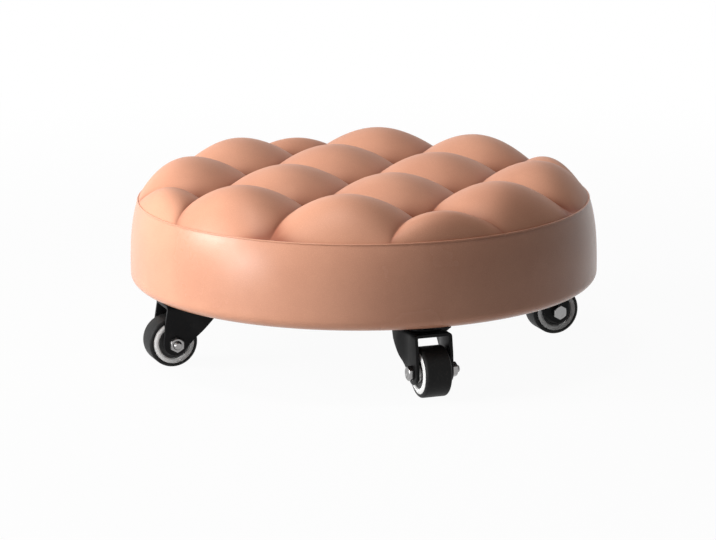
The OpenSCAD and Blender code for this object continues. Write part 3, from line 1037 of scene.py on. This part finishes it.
@dataclass(frozen=True)
class SideBand:
    """The smooth leather band, its turned-in hem and the bead along the seam.

    Attributes:
        steps: Facets of the band's full turn.
        roll: Radius of its rolled upper edge.
        hem_pleats: Pleats round the hem.
        pleat_depth: Their depth.
        pleat_out: How far outside the middle of the lower fold they start.
        pleat_w: Width over which they rise from there.
        pleat_drift: How unevenly they are spaced, in radians.
        join_w: Half the width of the upright join at the back.
        join_depth: Depth of that join.
        join_cuts: Places along X where the mesh gets edges for it.
        bead_r: Radius of the bead.
        bead_in: How far the bead's middle lies inside the seam.
        bead_rise: How far it lies over the seam.
        stitches: Stitches round the seam.
        stitch_pull: How much a stitch draws the bead in, as a share.
    """

    steps: int = 256
    roll: float = 0.5
    hem_pleats: int = 72
    pleat_depth: float = 0.25
    pleat_out: float = 5.0
    pleat_w: float = 12.0
    pleat_drift: float = 1.7
    join_w: float = 1.26
    join_depth: float = 0.6
    join_cuts: tuple[float, ...] = (-1.4, -0.63, 0.0, 0.63, 1.4)
    bead_r: float = 0.7
    bead_in: float = 0.4
    bead_rise: float = 0.25
    stitches: int = 288
    stitch_pull: float = 0.05

    def outline(self) -> Outline:
        """Outer face from the rolled upper edge down to the hem's inner edge."""
        start = (SEAT.seam_r - self.roll, SEAT.seam_z - self.roll)
        rolled = arc(start, self.roll, 135, 0, 6)
        side = SEAT.band_outline(0.0, SEAT.seam_z - self.roll)
        hem = [
            (SEAT.fold_r - (SEAT.fold_r - SEAT.hem_r) * i / 8, SEAT.seat_low) for i in range(1, 9)
        ]
        return rolled + side[1:] + hem

    def join_groove(self, bm: bmesh.types.BMesh) -> None:
        """Sinks the upright join at the back of the band."""
        for x in self.join_cuts:
            back = [f for f in bm.faces if f.calc_center_median().y > SEAT.hem_r * 0.8]
            around = {v for f in back for v in f.verts} | {e for f in back for e in f.edges}
            cut_across(bm, [*back, *around], (x, 0, 0), (1, 0, 0))
        for v in bm.verts:
            if v.co.y > 0 and abs(v.co.x) < self.join_w:
                v.co.y -= self.join_depth * (1 - abs(v.co.x) / self.join_w)

    def shape(self) -> bmesh.types.BMesh:
        """The band as a thin closed shell."""
        bm = bmesh.new()
        lathe(bm, self.outline(), self.steps, closed=False)
        start = SEAT.fold_r + self.pleat_out
        for v in bm.verts:
            r, a = math.hypot(v.co.x, v.co.y), math.atan2(v.co.y, v.co.x)
            under = share_of(r, start, start - self.pleat_w)
            if v.co.z < SEAT.wide_z and under > 0:
                wave = math.sin(a * self.hem_pleats + self.pleat_drift * math.sin(5 * a))
                v.co.z += self.pleat_depth * under * (0.5 + 0.5 * wave)
        self.join_groove(bm)
        bmesh.ops.recalc_face_normals(bm, faces=bm.faces)
        bmesh.ops.solidify(bm, geom=bm.faces[:], thickness=SEAT.leather_t)
        bmesh.ops.recalc_face_normals(bm, faces=bm.faces)
        return bm

    def bead_shape(self) -> bmesh.types.BMesh:
        """The rolled bead, drawn in a little at every stitch."""
        bm = bmesh.new()
        middle = (SEAT.seam_r - self.bead_in, SEAT.seam_z + self.bead_rise)
        lathe(bm, arc(middle, self.bead_r, 0, 330, 11), 720)
        for v in bm.verts:
            a = math.atan2(v.co.y, v.co.x)
            pull = 1 - self.stitch_pull * (0.5 + 0.5 * math.cos(a * self.stitches))
            flat = Vector((math.cos(a), math.sin(a), 0)) * middle[0] + UP * middle[1]
            v.co = flat + (v.co - flat) * pull
        return bm

    def build(self) -> None:
        """Makes the band and the bead."""
        band = make_piece("leather_band", self.shape(), LEATHER_BAND, "seat", ["side_band"])
        make_piece("seam_piping", self.bead_shape(), LEATHER_BEAD, "seat", ["seam_bead"])


@dataclass(frozen=True)
class SeatInside:
    """Board, foam, cords and black cloth: what carries the leather and closes the seat.

    Attributes:
        cut_edge: Radius of the foam block's upper edge.
        cloth_rings: Rings of the cloth's mesh.
        cloth_steps: Facets of its full turn.
        puckers: Height of the cloth's puckers.
        pucker_w: Width over which they fade from the ring of staples.
        staple_count: Staples round the cloth.
        cord_r: Radius of a tufting cord.
        cord_in: How far a cord ends under the leather.
        cord_flare: Radius of the moulded foot of a cord on its disc.
        toggle_r: Radius of the disc.
        toggle_t: Thickness of the disc.
    """

    cut_edge: float = 1.2
    cloth_rings: int = 26
    cloth_steps: int = 192
    puckers: float = 0.22
    pucker_w: float = 26.0
    staple_count: int = 16
    cord_r: float = 0.9
    cord_in: float = 1.0
    cord_flare: float = 0.6
    toggle_r: float = 6.0
    toggle_t: float = 1.0

    def foam_block(self) -> bmesh.types.BMesh:
        """The round foam block on the board, with softly cut edges."""
        bm = bmesh.new()
        low, high, edge = SEAT.board_top, SEAT.pad_low, self.cut_edge
        rim = arc((SEAT.core_r - edge, high - edge), edge, 90, 0, 4)
        outline = [(0, low), (0, high), *rim, (SEAT.core_r, low)]
        lathe(bm, outline, 128, closed=False)
        return bm

    def foam_ring(self) -> bmesh.types.BMesh:
        """The foam strip that gives the side its swell."""
        bm = bmesh.new()
        outer = SEAT.band_outline(SEAT.leather_t + SEAT.gap, SEAT.pad_low)
        inner = [(SEAT.core_r, SEAT.board_low + SEAT.gap), (SEAT.core_r, SEAT.pad_low)]
        lathe(bm, outer + inner, 192)
        return bm

    def cloth(self) -> bmesh.types.BMesh:
        """The black cloth, puckered a little between its staples."""
        bm = bmesh.new()
        radii = [SEAT.dust_r * i / self.cloth_rings for i in range(self.cloth_rings + 1)]
        lathe(bm, [(r, SEAT.plate_top) for r in radii], self.cloth_steps, closed=False)
        for v in bm.verts:
            r, a = math.hypot(v.co.x, v.co.y), math.atan2(v.co.y, v.co.x)
            near = max(0.0, 1 - abs(r - SEAT.staple_r) / self.pucker_w)
            wave = 0.5 - 0.5 * math.cos((a - math.radians(SEAT.staple_turn)) * self.staple_count)
            v.co.z += self.puckers * near * (1 - wave)
        bmesh.ops.solidify(bm, geom=bm.faces[:], thickness=SEAT.cloth_t)
        bmesh.ops.recalc_face_normals(bm, faces=bm.faces)
        low = min(v.co.z for v in bm.verts)
        return moved(bm, Matrix.Translation((0, 0, SEAT.plate_top - low)))

    def ties(self, top: TuftedTop) -> bmesh.types.BMesh:
        """The cords that draw the knots down, each with its moulded disc under the board.

        Args:
            top: The tufted cushion that they hold.

        Returns:
            One mesh with a closed shell for each knot.
        """
        bm = bmesh.new()
        foot, flare, edge = SEAT.board_low, self.cord_flare, self.toggle_t / 2 - 0.05
        rim, cap = self.toggle_r - edge, foot + self.toggle_t
        disc = [(0, foot), *arc((rim, foot + edge), edge, -90, 0, 3)]
        disc += arc((rim, cap - edge), edge, 0, 90, 3)
        disc += arc((self.cord_r + flare, cap + flare), flare, 270, 180, 3)
        for x in (-1, 0, 1):
            for y in (-1, 0, 1):
                end = top.height(x, y) - self.cord_in
                cord = [(self.cord_r, end - 0.6), (self.cord_r * 0.7, end - 0.1), (0, end)]
                one = bmesh.new()
                lathe(one, disc + cord, 20, closed=False)
                spot = top.placing @ Vector((x * top.pitch, y * top.pitch, 0))
                add_shape(bm, moved(one, Matrix.Translation(spot)))
        return bm

    def build(self) -> None:
        """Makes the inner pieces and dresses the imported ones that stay."""
        block = make_piece("foam_block", self.foam_block(), FOAM, "seat", ["foam_core"])
        ring = make_piece("foam_ring", self.foam_ring(), FOAM, "seat", ["side_padding"])
        cloth = make_piece("black_cloth", self.cloth(), BLACK_CLOTH, "seat", ["dust_cover"])
        dress_node("seat_board", PLYWOOD)
        make_piece("tuft_cords", self.ties(TuftedTop()), NYLON, "seat", ["tuft_ties"])
        dress_node("cover_staples", STAPLE_STEEL)


# The casters


@dataclass(frozen=True)
class CasterSizes:
    """Sizes of one caster, in millimetres, drawn with its swivel axis on the Z axis.

    The wheel trails along +X, and the floor is at height 0.
    """

    # Tyre and core
    axle_z: float = 19.0
    trail: float = 15.0
    tyre_r: float = 19.0
    shoulder: float = 3.5
    tyre_proud: float = 0.4
    wheel_steps: int = 96
    ring_r: float = 17.0
    ring_edge: float = 16.2
    ring_round: float = 0.9
    ring_dome: float = 1.2
    ring_half: float = 11.1
    ring_lap: float = 1.5
    hub_r: float = 7.0
    hub_half: float = 12.0
    web_half: float = 3.0
    bore_r: float = 4.55

    # Hub caps
    cap_r: float = 12.0
    cap_face: float = 9.9
    cap_t: float = 1.4
    cap_edge: float = 0.2
    cap_land: float = 1.0
    cap_groove: float = 0.5

    # Fork
    fork_half: float = 14.75
    sheet: float = 2.5
    sheet_edge: float = 0.35
    crown_low: float = 46.0
    crown_top: float = 48.5
    bend_r: float = 3.0
    crown_in: float = 22.5
    crown_out: float = 21.0
    leg_end_r: float = 9.0
    knee: tuple[float, float] = (23.0, 33.0)
    knee_r: float = 3.0
    knee_rise: float = 0.4
    knee_turn: tuple[float, float] = (-4.0, 18.0)

    # Flare of the legs: how far, where the sheet gets edges so that it can bend, between which
    # points along X, and over which heights
    flare: float = 3.5
    flare_cuts_x: range = range(-20, 12, 4)
    flare_cuts_z: range = range(20, 45, 4)
    flare_front: float = 8.0
    flare_rear: float = -12.0
    flare_rise: float = 8.0
    flare_high: float = 38.0
    flare_fade: float = 0.55

    # Axle bolt and nut
    axle_r: float = 3.0
    hex_w: float = 10.0
    head_h: float = 4.0
    head_chamfer: float = 1.6
    head_land: float = 0.3
    head_dish: float = 0.5
    dish_rim: float = 1.6
    dish_floor: float = 2.4
    head_edge: float = 0.12
    nut_h: float = 5.0
    nut_chamfer: float = 0.9
    nut_land: float = 0.2
    nut_play: float = 0.1
    nut_bevel: float = 0.4
    nut_edge: float = 0.1
    thread_out: float = 2.4
    thread_pitch: float = 1.0
    thread_depth: float = 0.4
    thread_steps: int = 24
    thread_sunk: float = 0.02
    bolt_tip: float = 0.5

    # Mounting plate, ball races and king pin
    plate_low: float = 52.5
    plate_top: float = 54.7
    plate_side: float = 40.0
    plate_turn: float = -18.0
    plate_corner: float = 4.0
    plate_edge: float = 0.3
    screw_half: float = 15.0
    screw_hole_r: float = 2.25
    drill_h: float = 10.0
    race_r: float = 9.5
    race_h: float = 1.5
    race_edge: float = 0.5
    boss_r: float = 12.0
    ball_z: float = 50.5
    groove_r: float = 1.55
    pin_bore: float = 4.05

    @property
    def axle(self) -> Matrix:
        """Turns a shape drawn round the Z axis onto the axle."""
        turn = Matrix.Rotation(math.pi / 2, 4, "X")
        return Matrix.Translation((self.trail, 0, self.axle_z)) @ turn

    @property
    def hex_corner(self) -> float:
        """Distance from the axle to a corner of the bolt's head."""
        return self.hex_w / 2 / math.cos(math.pi / 6)

    def touch(self, point: tuple[float, float], side: int) -> float:
        """Angle, in degrees, where a line from a point touches the leg's round end."""
        dx, dz = point[0] - self.trail, point[1] - self.axle_z
        turn = math.acos(self.leg_end_r / math.hypot(dx, dz))
        return math.degrees(math.atan2(dz, dx) + side * turn)


CASTER = CasterSizes()


class CasterShapes:
    """The meshes of one caster, each drawn once and placed four times."""

    def __init__(self, sizes: CasterSizes) -> None:
        """Draws every piece of the caster.

        Args:
            sizes: The caster's sizes.
        """
        self.sizes = sizes
        self.fork = self.draw_fork()
        self.lower_race = self.draw_race(sizes.crown_top, 1)
        self.upper_race = self.draw_race(sizes.plate_low, -1)
        self.plate = self.draw_plate()
        self.tyre = self.draw_tyre()
        self.core = self.draw_core()
        self.caps = self.draw_caps()
        self.bolt = self.draw_bolt()
        self.nut = self.draw_nut()

    def flare_out(self, x: float, z: float) -> float:
        """How far a leg is pressed outwards at a point: nothing in front, full at the rear."""
        s = self.sizes
        rear = share_of(x, s.flare_front, s.flare_rear)
        low = share_of(z, s.axle_z, s.axle_z + s.flare_rise)
        high = share_of(z, s.flare_high, s.crown_top)
        return s.flare * rear * rear * (3 - 2 * rear) * low * (1 - s.flare_fade * high)

    def draw_fork(self) -> bmesh.types.BMesh:
        """The fork, folded from one sheet: two drawn-in legs under a flat crown."""
        s = self.sizes
        bm = bmesh.new()
        top = s.crown_top - s.bend_r
        inner = s.touch((-s.crown_in, s.crown_low), 1)
        outer = s.touch(s.knee, -1)
        end = arc((s.trail, s.axle_z), s.leg_end_r, inner, outer + 360, 20)
        knee_middle = (s.knee[0] - s.knee_r, s.knee[1] + s.knee_rise)
        knee = arc(knee_middle, s.knee_r, *s.knee_turn, 4)
        side = [(-s.crown_in, top), *end, *knee, (s.crown_out, top)]
        ring = [bm.verts.new((x, s.fork_half, z)) for x, z in side]
        face = bm.faces.new(ring)
        fold = next(e for e in face.edges if all(abs(v.co.z - top) < 1e-6 for v in e.verts))
        bent = bmesh.ops.spin(
            bm,
            geom=[fold, *fold.verts],
            cent=(0, s.fork_half - s.bend_r, top),
            axis=(1, 0, 0),
            angle=math.pi / 2,
            steps=6,
            use_merge=False,
        )
        last = [g for g in bent["geom_last"] if isinstance(g, bmesh.types.BMEdge)]
        grown = bmesh.ops.extrude_edge_only(bm, edges=last)["geom"]
        for v in (g for g in grown if isinstance(g, bmesh.types.BMVert)):
            v.co.y = 0.0
        for x in s.flare_cuts_x:
            cut_across(bm, whole(bm), (x, 0, 0), (1, 0, 0))
        for z in s.flare_cuts_z:
            cut_across(bm, whole(bm), (0, 0, z), (0, 0, 1))
        for v in bm.verts:
            v.co.y += self.flare_out(v.co.x, v.co.z) * min(1.0, v.co.y / (s.fork_half - s.bend_r))
        bmesh.ops.mirror(bm, geom=whole(bm), merge_dist=1e-3, axis="Y")
        bmesh.ops.remove_doubles(bm, verts=bm.verts, dist=1e-3)
        bmesh.ops.recalc_face_normals(bm, faces=bm.faces)
        bmesh.ops.solidify(bm, geom=bm.faces[:], thickness=s.sheet)
        bmesh.ops.recalc_face_normals(bm, faces=bm.faces)
        soften(bm, s.sheet_edge, 2, 60.0)
        return bm

    def draw_race(self, base: float, side: int) -> bmesh.types.BMesh:
        """One pressed ball race: a round boss with the channel of the balls.

        Args:
            base: Height of the sheet that it is pressed from.
            side: 1 where it stands up, -1 where it hangs down.
        """
        s = self.sizes
        bm = bmesh.new()
        face = base + side * s.race_h
        half = math.degrees(math.acos(abs(s.ball_z - face) / s.groove_r))
        channel = arc((s.race_r, s.ball_z), s.groove_r, 270 - half, 270 + half, 8)
        if side < 0:
            channel = [(r, 2 * s.ball_z - z) for r, z in channel]
        rim = s.race_edge
        outline = [(s.pin_bore, base), (s.pin_bore, face), *channel]
        outline += [(s.boss_r - rim, face), (s.boss_r - rim * 0.3, face - side * rim * 0.3)]
        outline += [(s.boss_r, face - side * rim), (s.boss_r, base)]
        lathe(bm, outline, 64)
        return bm

    def draw_plate(self) -> bmesh.types.BMesh:
        """The square mounting plate with round corners and four screw holes."""
        s = self.sizes
        bm = bmesh.new()
        bmesh.ops.create_cube(bm, size=1.0)
        thick = s.plate_top - s.plate_low
        bmesh.ops.scale(bm, verts=bm.verts, vec=(s.plate_side, s.plate_side, thick))
        upright = [e for e in bm.edges if abs(e.verts[0].co.z - e.verts[1].co.z) > 1]
        bmesh.ops.bevel(
            bm,
            geom=upright,
            offset=s.plate_corner,
            offset_type="OFFSET",
            segments=8,
            profile=0.5,
            affect="EDGES",
            material=-1,
        )
        holes = bmesh.new()
        for x in (-1, 1):
            for y in (-1, 1):
                spot = Matrix.Translation((x * s.screw_half, y * s.screw_half, 0))
                bmesh.ops.create_cone(
                    holes,
                    cap_ends=True,
                    segments=32,
                    radius1=s.screw_hole_r,
                    radius2=s.screw_hole_r,
                    depth=s.drill_h,
                    matrix=spot,
                )
        bm = combined(bm, holes, "DIFFERENCE")
        soften(bm, s.plate_edge, 2, 60.0)
        turn = Matrix.Rotation(math.radians(s.plate_turn), 4, "Z")
        return moved(bm, Matrix.Translation((0, 0, s.plate_low + thick / 2)) @ turn)

    def draw_wheel_part(self, half: Outline) -> bmesh.types.BMesh:
        """Spins half an outline and its mirror image round the axle."""
        bm = bmesh.new()
        lathe(bm, half + [(r, -z) for r, z in reversed(half)], self.sizes.wheel_steps)
        return moved(bm, self.sizes.axle)

    def draw_tyre(self) -> bmesh.types.BMesh:
        """The tyre: a smooth tread between two rounded shoulders."""
        s = self.sizes
        start, wide = s.ring_half - s.ring_dome, s.tyre_r - s.ring_edge
        half = [(s.ring_edge, start - s.ring_lap), (s.ring_edge, start)]
        for i in range(11):
            a = math.pi * i / 20
            drop = (s.shoulder - s.ring_dome) * (1 - math.cos(a))
            half.append((s.ring_edge + wide * math.sin(a), start + s.tyre_proud - drop))
        return self.draw_wheel_part(half)

    def draw_core(self) -> bmesh.types.BMesh:
        """The pale core: hub, web and the domed ring that shows on both faces."""
        s = self.sizes
        crest, round_r = s.cap_r + s.ring_round, s.ring_round
        half = [(s.bore_r, s.hub_half), (s.hub_r, s.hub_half), (s.hub_r, s.web_half)]
        half += [(s.cap_r, s.web_half), *arc((crest, s.ring_half - round_r), round_r, 180, 90, 4)]
        for i in range(1, 9):
            t = i / 8
            half.append((crest + (s.ring_edge - crest) * t, s.ring_half - s.ring_dome * t * t))
        lap = s.ring_half - s.ring_dome - s.ring_lap
        return self.draw_wheel_part([*half, (s.ring_edge, lap), (s.ring_r, lap)])

    def draw_caps(self) -> bmesh.types.BMesh:
        """The two dark covers round the hub, each with a round groove."""
        s = self.sizes
        both = bmesh.new()
        face, deep, back = s.cap_face, s.cap_face - s.cap_groove, s.cap_face - s.cap_t
        flat, low = s.cap_land, s.cap_land + s.cap_groove
        outline = [(s.hub_r, back), (s.cap_r, back), (s.cap_r, face - s.cap_edge)]
        outline += [(s.cap_r - s.cap_edge, face), (s.cap_r - flat, face), (s.cap_r - low, deep)]
        outline += [(s.hub_r + low, deep), (s.hub_r + flat, face), (s.hub_r, face)]
        lathe(both, outline, s.wheel_steps)
        bmesh.ops.mirror(both, geom=whole(both), axis="Z")
        bmesh.ops.recalc_face_normals(both, faces=both.faces)
        return moved(both, s.axle)

    def hexagon(self, height: float) -> bmesh.types.BMesh:
        """A hexagonal prism standing on the XY plane."""
        bm = bmesh.new()
        corner = self.sizes.hex_corner
        bmesh.ops.create_cone(
            bm, cap_ends=True, segments=6, radius1=corner, radius2=corner, depth=height
        )
        return moved(bm, Matrix.Translation((0, 0, height / 2)))

    def draw_bolt(self) -> bmesh.types.BMesh:
        """The axle bolt: chamfered hexagonal head, shank and thread at its end."""
        s = self.sizes
        flat, out, dish = s.hex_w / 2, s.hex_corner + 1, s.head_h - s.head_dish
        outline = [(0, -1.0), (out, -1.0), (out, s.head_h - s.head_chamfer)]
        outline += [(flat - s.head_land, s.head_h), (flat - s.dish_rim, s.head_h)]
        outline += [(flat - s.dish_floor, dish), (0, dish)]
        cone = bmesh.new()
        lathe(cone, outline, 48, closed=False)
        bm = combined(self.hexagon(s.head_h), cone, "INTERSECT")
        soften(bm, s.head_edge, 1, 25.0)
        bmesh.ops.translate(bm, verts=bm.verts, vec=(0, 0, s.fork_half))
        end, head = -s.fork_half - s.nut_h - s.thread_out, s.fork_half + 0.5
        root, tip = s.axle_r - s.thread_depth, s.bolt_tip
        shank = [(0, end), (root - tip, end), (root, end + tip), (root, -s.fork_half)]
        shank += [(s.axle_r, -s.fork_half), (s.axle_r, head), (0, head)]
        rod = bmesh.new()
        lathe(rod, shank, 32, closed=False)
        add_shape(bm, rod)
        self.add_thread(bm, end + tip, s.thread_out + 0.3)
        return moved(bm, s.axle)

    def add_thread(self, bm: bmesh.types.BMesh, low: float, length: float) -> None:
        """Winds a thread round the Z axis.

        Args:
            bm: The mesh that it goes into.
            low: Height of its lower end.
            length: How far it rises.
        """
        s = self.sizes
        turns = length / s.thread_pitch
        steps = round(turns * s.thread_steps)
        root, crest = s.axle_r - s.thread_depth - s.thread_sunk, s.axle_r
        points = [
            bm.verts.new((r, 0, low + z * s.thread_pitch))
            for r, z in ((root, 0.0), (crest, 0.4), (crest, 0.6), (root, 1.0))
        ]
        edges = [bm.edges.new(pair) for pair in zip(points, points[1:])]
        bmesh.ops.spin(
            bm,
            geom=points + edges,
            cent=(0, 0, 0),
            axis=UP,
            dvec=(0, 0, length / steps),
            angle=FULL_TURN * turns,
            steps=steps,
            use_merge=False,
        )
        near = [v for v in bm.verts if low - 0.01 <= v.co.z <= low + length + s.thread_pitch]
        bmesh.ops.remove_doubles(bm, verts=near, dist=1e-3)
        bmesh.ops.recalc_face_normals(bm, faces=bm.faces)

    def draw_nut(self) -> bmesh.types.BMesh:
        """The hexagonal nut, chamfered on both sides, with its threaded bore."""
        s = self.sizes
        rim, out = s.hex_w / 2 - s.nut_land, s.hex_corner + 0.3
        bore, bevel = s.axle_r + s.nut_play, s.nut_bevel
        half = [(bore, bevel), (bore + bevel, 0), (rim, 0), (out, s.nut_chamfer)]
        cone = bmesh.new()
        lathe(cone, half + [(r, s.nut_h - z) for r, z in reversed(half)], 48)
        bm = combined(self.hexagon(s.nut_h), cone, "INTERSECT")
        soften(bm, s.nut_edge, 1, 25.0)
        bmesh.ops.translate(bm, verts=bm.verts, vec=(0, 0, -s.fork_half - s.nut_h))
        return moved(bm, s.axle)


@dataclass(frozen=True)
class Caster:
    """One caster in its place: what is screwed to the seat, the fork and the wheel.

    Attributes:
        place: Where it stands under the seat.
    """

    place: Place

    def joint(self, kind: str) -> dict:
        """The joint of this caster of a kind, swivel or wheel_spin."""
        wanted = f"{kind}_{self.place.value}"
        return next(j for j in frame["joints"] if j["name"] == wanted)

    def placings(self) -> tuple[Matrix, Matrix]:
        """Where the fixed pieces and the turning pieces go, at rest."""
        pivot = Vector(self.joint("swivel")["pos_m"])
        axle = Vector(self.joint("wheel_spin")["pos_m"])
        spot = Matrix.Translation((pivot.x, pivot.y, 0))
        outward = math.atan2(pivot.y, pivot.x)
        heading = math.atan2(axle.y - pivot.y, axle.x - pivot.x)
        return spot @ Matrix.Rotation(outward, 4, "Z"), spot @ Matrix.Rotation(heading, 4, "Z")

    def build(self, shapes: CasterShapes) -> None:
        """Places the caster's pieces on their bodies."""
        name = self.place.value
        fixed, turning = self.placings()
        caster, wheel = f"caster_{name}", f"wheel_{name}"
        rows: list[tuple[str, bmesh.types.BMesh, Finish, str, list[str], Matrix]] = [
            ("plate", shapes.plate, BLACK_PAINT, "seat", [f"mount_plate_{name}"], fixed),
            ("upper_race", shapes.upper_race, BLACK_PAINT, "seat", [f"mount_plate_{name}"], fixed),
            ("fork_sheet", shapes.fork, BLACK_PAINT, caster, [f"fork_{name}"], turning),
            ("lower_race", shapes.lower_race, BLACK_PAINT, caster, [f"fork_{name}"], turning),
            ("bolt", shapes.bolt, BRIGHT_STEEL, caster, [f"axle_bolt_{name}"], turning),
            ("nut", shapes.nut, BRIGHT_STEEL, caster, [f"axle_nut_{name}"], turning),
            ("tyre_rubber", shapes.tyre, TYRE_RUBBER, wheel, [f"tyre_{name}"], turning),
            ("core", shapes.core, PALE_PLASTIC, wheel, [f"wheel_core_{name}"], turning),
            ("caps", shapes.caps, DARK_PLASTIC, wheel, [f"hub_caps_{name}"], turning),
        ]
        for part, shape, finish, body, stands_for, placing in rows:
            make_piece(f"{part}_{name}", shape, finish, body, stands_for, placing)
        dress_node(f"swivel_balls_{name}", BALL_STEEL)
        dress_node(f"king_pin_{name}", PIN_STEEL)
        dress_node(f"axle_sleeve_{name}", PIN_STEEL)
        dress_node(f"plate_screws_{name}", BLACK_PAINT)


# Camera, light and floor


@dataclass(frozen=True)
class Softbox:
    """One soft lamp that looks at the seat.

    Attributes:
        name: The lamp's name.
        around: Direction from the seat, in degrees from the camera's side, to the right.
        above: Height over the horizon, in degrees.
        power: Power, in watts.
        size: Width and height of the lamp, in metres.
        distance: Distance from the seat, in metres.
    """

    name: str
    around: float
    above: float
    power: float
    size: tuple[float, float] = (1.2, 1.2)
    distance: float = 2.0

    def build(self, target: Vector) -> None:
        """Makes the lamp and turns it to the target."""
        a, e = math.radians(self.around), math.radians(self.above)
        out = Vector((math.sin(a) * math.cos(e), -math.cos(a) * math.cos(e), math.sin(e)))
        lamp = bpy.data.lights.new(self.name, "AREA")
        lamp.shape, lamp.size, lamp.size_y = "RECTANGLE", *self.size
        lamp.energy = self.power
        holder = bpy.data.objects.new(self.name, lamp)
        bpy.context.scene.collection.objects.link(holder)
        holder.location = target + out * self.distance
        holder.rotation_euler = out.to_track_quat("Z", "Y").to_euler()


@dataclass(frozen=True)
class Studio:
    """The photograph's view, soft lamps, a white surround and a pale floor.

    Attributes:
        elevation: Height of the view over the horizon, in degrees.
        roll: Roll of the camera, in degrees.
        distance: Distance of the camera from its target, in metres.
        target: Point that the camera looks at, in metres.
        lens: Focal length, in millimetres.
        sensor: Sensor width, in millimetres.
        lamp_aim: Height of the point that the lamps look at, in metres.
        surround: Strength of the light that comes from all round.
        floor_r: Radius of the floor, in metres.
        floor_tone: Grey of the floor for the light that it throws back.
        shadow_share: How much of the stool's shadow shows on the white floor.
        shadow_reach: Distances from the middle between which the shadow fades, in metres.
        lamps: The soft lamps.
    """

    elevation: float = 12.973
    roll: float = -0.3105
    distance: float = 2.68676
    target: Triple = (-0.00448, 0.0, 0.06159)
    lens: float = 174.43
    sensor: float = 36.0
    lamp_aim: float = 0.09
    surround: float = 0.02
    floor_r: float = 8.0
    floor_tone: float = 0.55
    shadow_share: float = 0.045
    shadow_reach: tuple[float, float] = (0.35, 1.2)
    lamps: tuple[Softbox, ...] = field(
        default_factory=lambda: (
            Softbox("key", -79, 22, 47.0, (0.8, 1.0)),
            Softbox("edge", -58, 3, 15.0, (0.6, 0.5)),
            Softbox("overhead", -60, 74, 19.0, (0.6, 0.6)),
        )
    )

    def add_camera(self) -> None:
        """Makes the camera and gives it to the scene."""
        tilt = math.radians(self.elevation)
        camera = bpy.data.cameras.new("photo_view")
        camera.lens, camera.sensor_width = self.lens, self.sensor
        camera.clip_start, camera.clip_end = 0.05, 100.0
        holder = bpy.data.objects.new("photo_view", camera)
        bpy.context.scene.collection.objects.link(holder)
        out = Vector((0, -math.cos(tilt), math.sin(tilt))) * self.distance
        turn = Matrix.Rotation(math.pi / 2 - tilt, 4, "X")
        turn = turn @ Matrix.Rotation(math.radians(self.roll), 4, "Z")
        holder.matrix_world = Matrix.Translation(Vector(self.target) + out) @ turn
        bpy.context.scene.camera = holder

    def seen_share(self, graph: Graph) -> bpy.types.NodeSocket:
        """1 for camera, mirror and glass rays, and 0 for the rays that light the stool."""
        rays = graph.add("ShaderNodeLightPath").outputs
        both = graph.maths("MAXIMUM", rays["Is Camera Ray"], rays["Is Glossy Ray"])
        return graph.maths("MAXIMUM", both, rays["Is Transmission Ray"])

    def show(
        self,
        graph: Graph,
        share: bpy.types.NodeSocket,
        light: bpy.types.Node,
        white: bpy.types.Node,
        out: str,
    ) -> None:
        """Mixes a lighting shader with the white one that is seen, and puts out the result.

        Args:
            graph: The graph of the surround or the floor.
            share: Share of the white shader.
            light: The shader that lights the stool.
            white: The shader that is seen.
            out: Type name of the output node.
        """
        both = graph.add("ShaderNodeMixShader")
        for socket, source in enumerate((share, light.outputs[0], white.outputs[0])):
            graph.join(source, both.inputs[socket])
        graph.join(both.outputs[0], graph.add(out).inputs["Surface"])

    def add_surround(self) -> None:
        """Fills the world: white where it is seen, and a soft grey light elsewhere."""
        world = bpy.data.worlds.new("studio")
        graph = cleared(world)
        plain = (1.0, 1.0, 1.0, 1.0)
        light, white = (
            graph.add("ShaderNodeBackground", {"Strength": strength, "Color": plain})
            for strength in (self.surround, 1.0)
        )
        self.show(graph, self.seen_share(graph), light, white, "ShaderNodeOutputWorld")
        bpy.context.scene.world = world

    def add_floor(self) -> None:
        """Lays the floor: white where it is seen, with the stool's soft shadow kept."""
        bm = bmesh.new()
        bmesh.ops.create_circle(bm, cap_ends=True, segments=96, radius=self.floor_r)
        mesh = bpy.data.meshes.new("floor")
        bm.to_mesh(mesh)
        bm.free()
        floor = bpy.data.objects.new("floor", mesh)
        bpy.context.scene.collection.objects.link(floor)
        made = bpy.data.materials.new("pale_floor")
        graph = cleared(made)
        matt = graph.add("ShaderNodeBsdfDiffuse", {"Color": (*[self.floor_tone] * 3, 1.0)})
        white = graph.add("ShaderNodeEmission", {"Strength": 1.0})
        far = graph.add("ShaderNodeVectorMath", operation="LENGTH")
        graph.join(graph.place(), far.inputs[0])
        share = graph.spread(far.outputs["Value"], *self.shadow_reach, 1 - self.shadow_share, 1.0)
        share = graph.maths("MULTIPLY", share, self.seen_share(graph))
        self.show(graph, share, matt, white, "ShaderNodeOutputMaterial")
        mesh.materials.append(made)

    def build(self) -> None:
        """Sets up everything that isn't part of the stool."""
        self.add_camera()
        self.add_surround()
        self.add_floor()
        for lamp in self.lamps:
            lamp.build(Vector((0, 0, self.lamp_aim)))
        bpy.context.scene.view_settings.view_transform = "Standard"


def main() -> None:
    """Builds the stage, the seat and the four casters in order."""
    logging.basicConfig(level=logging.INFO, format="%(message)s")
    Studio().build()
    TuftedTop().build()
    SideBand().build()
    SeatInside().build()
    shapes = CasterShapes(CASTER)
    for place in Place:
        Caster(place).build(shapes)


if __name__ == "__main__":
    main()
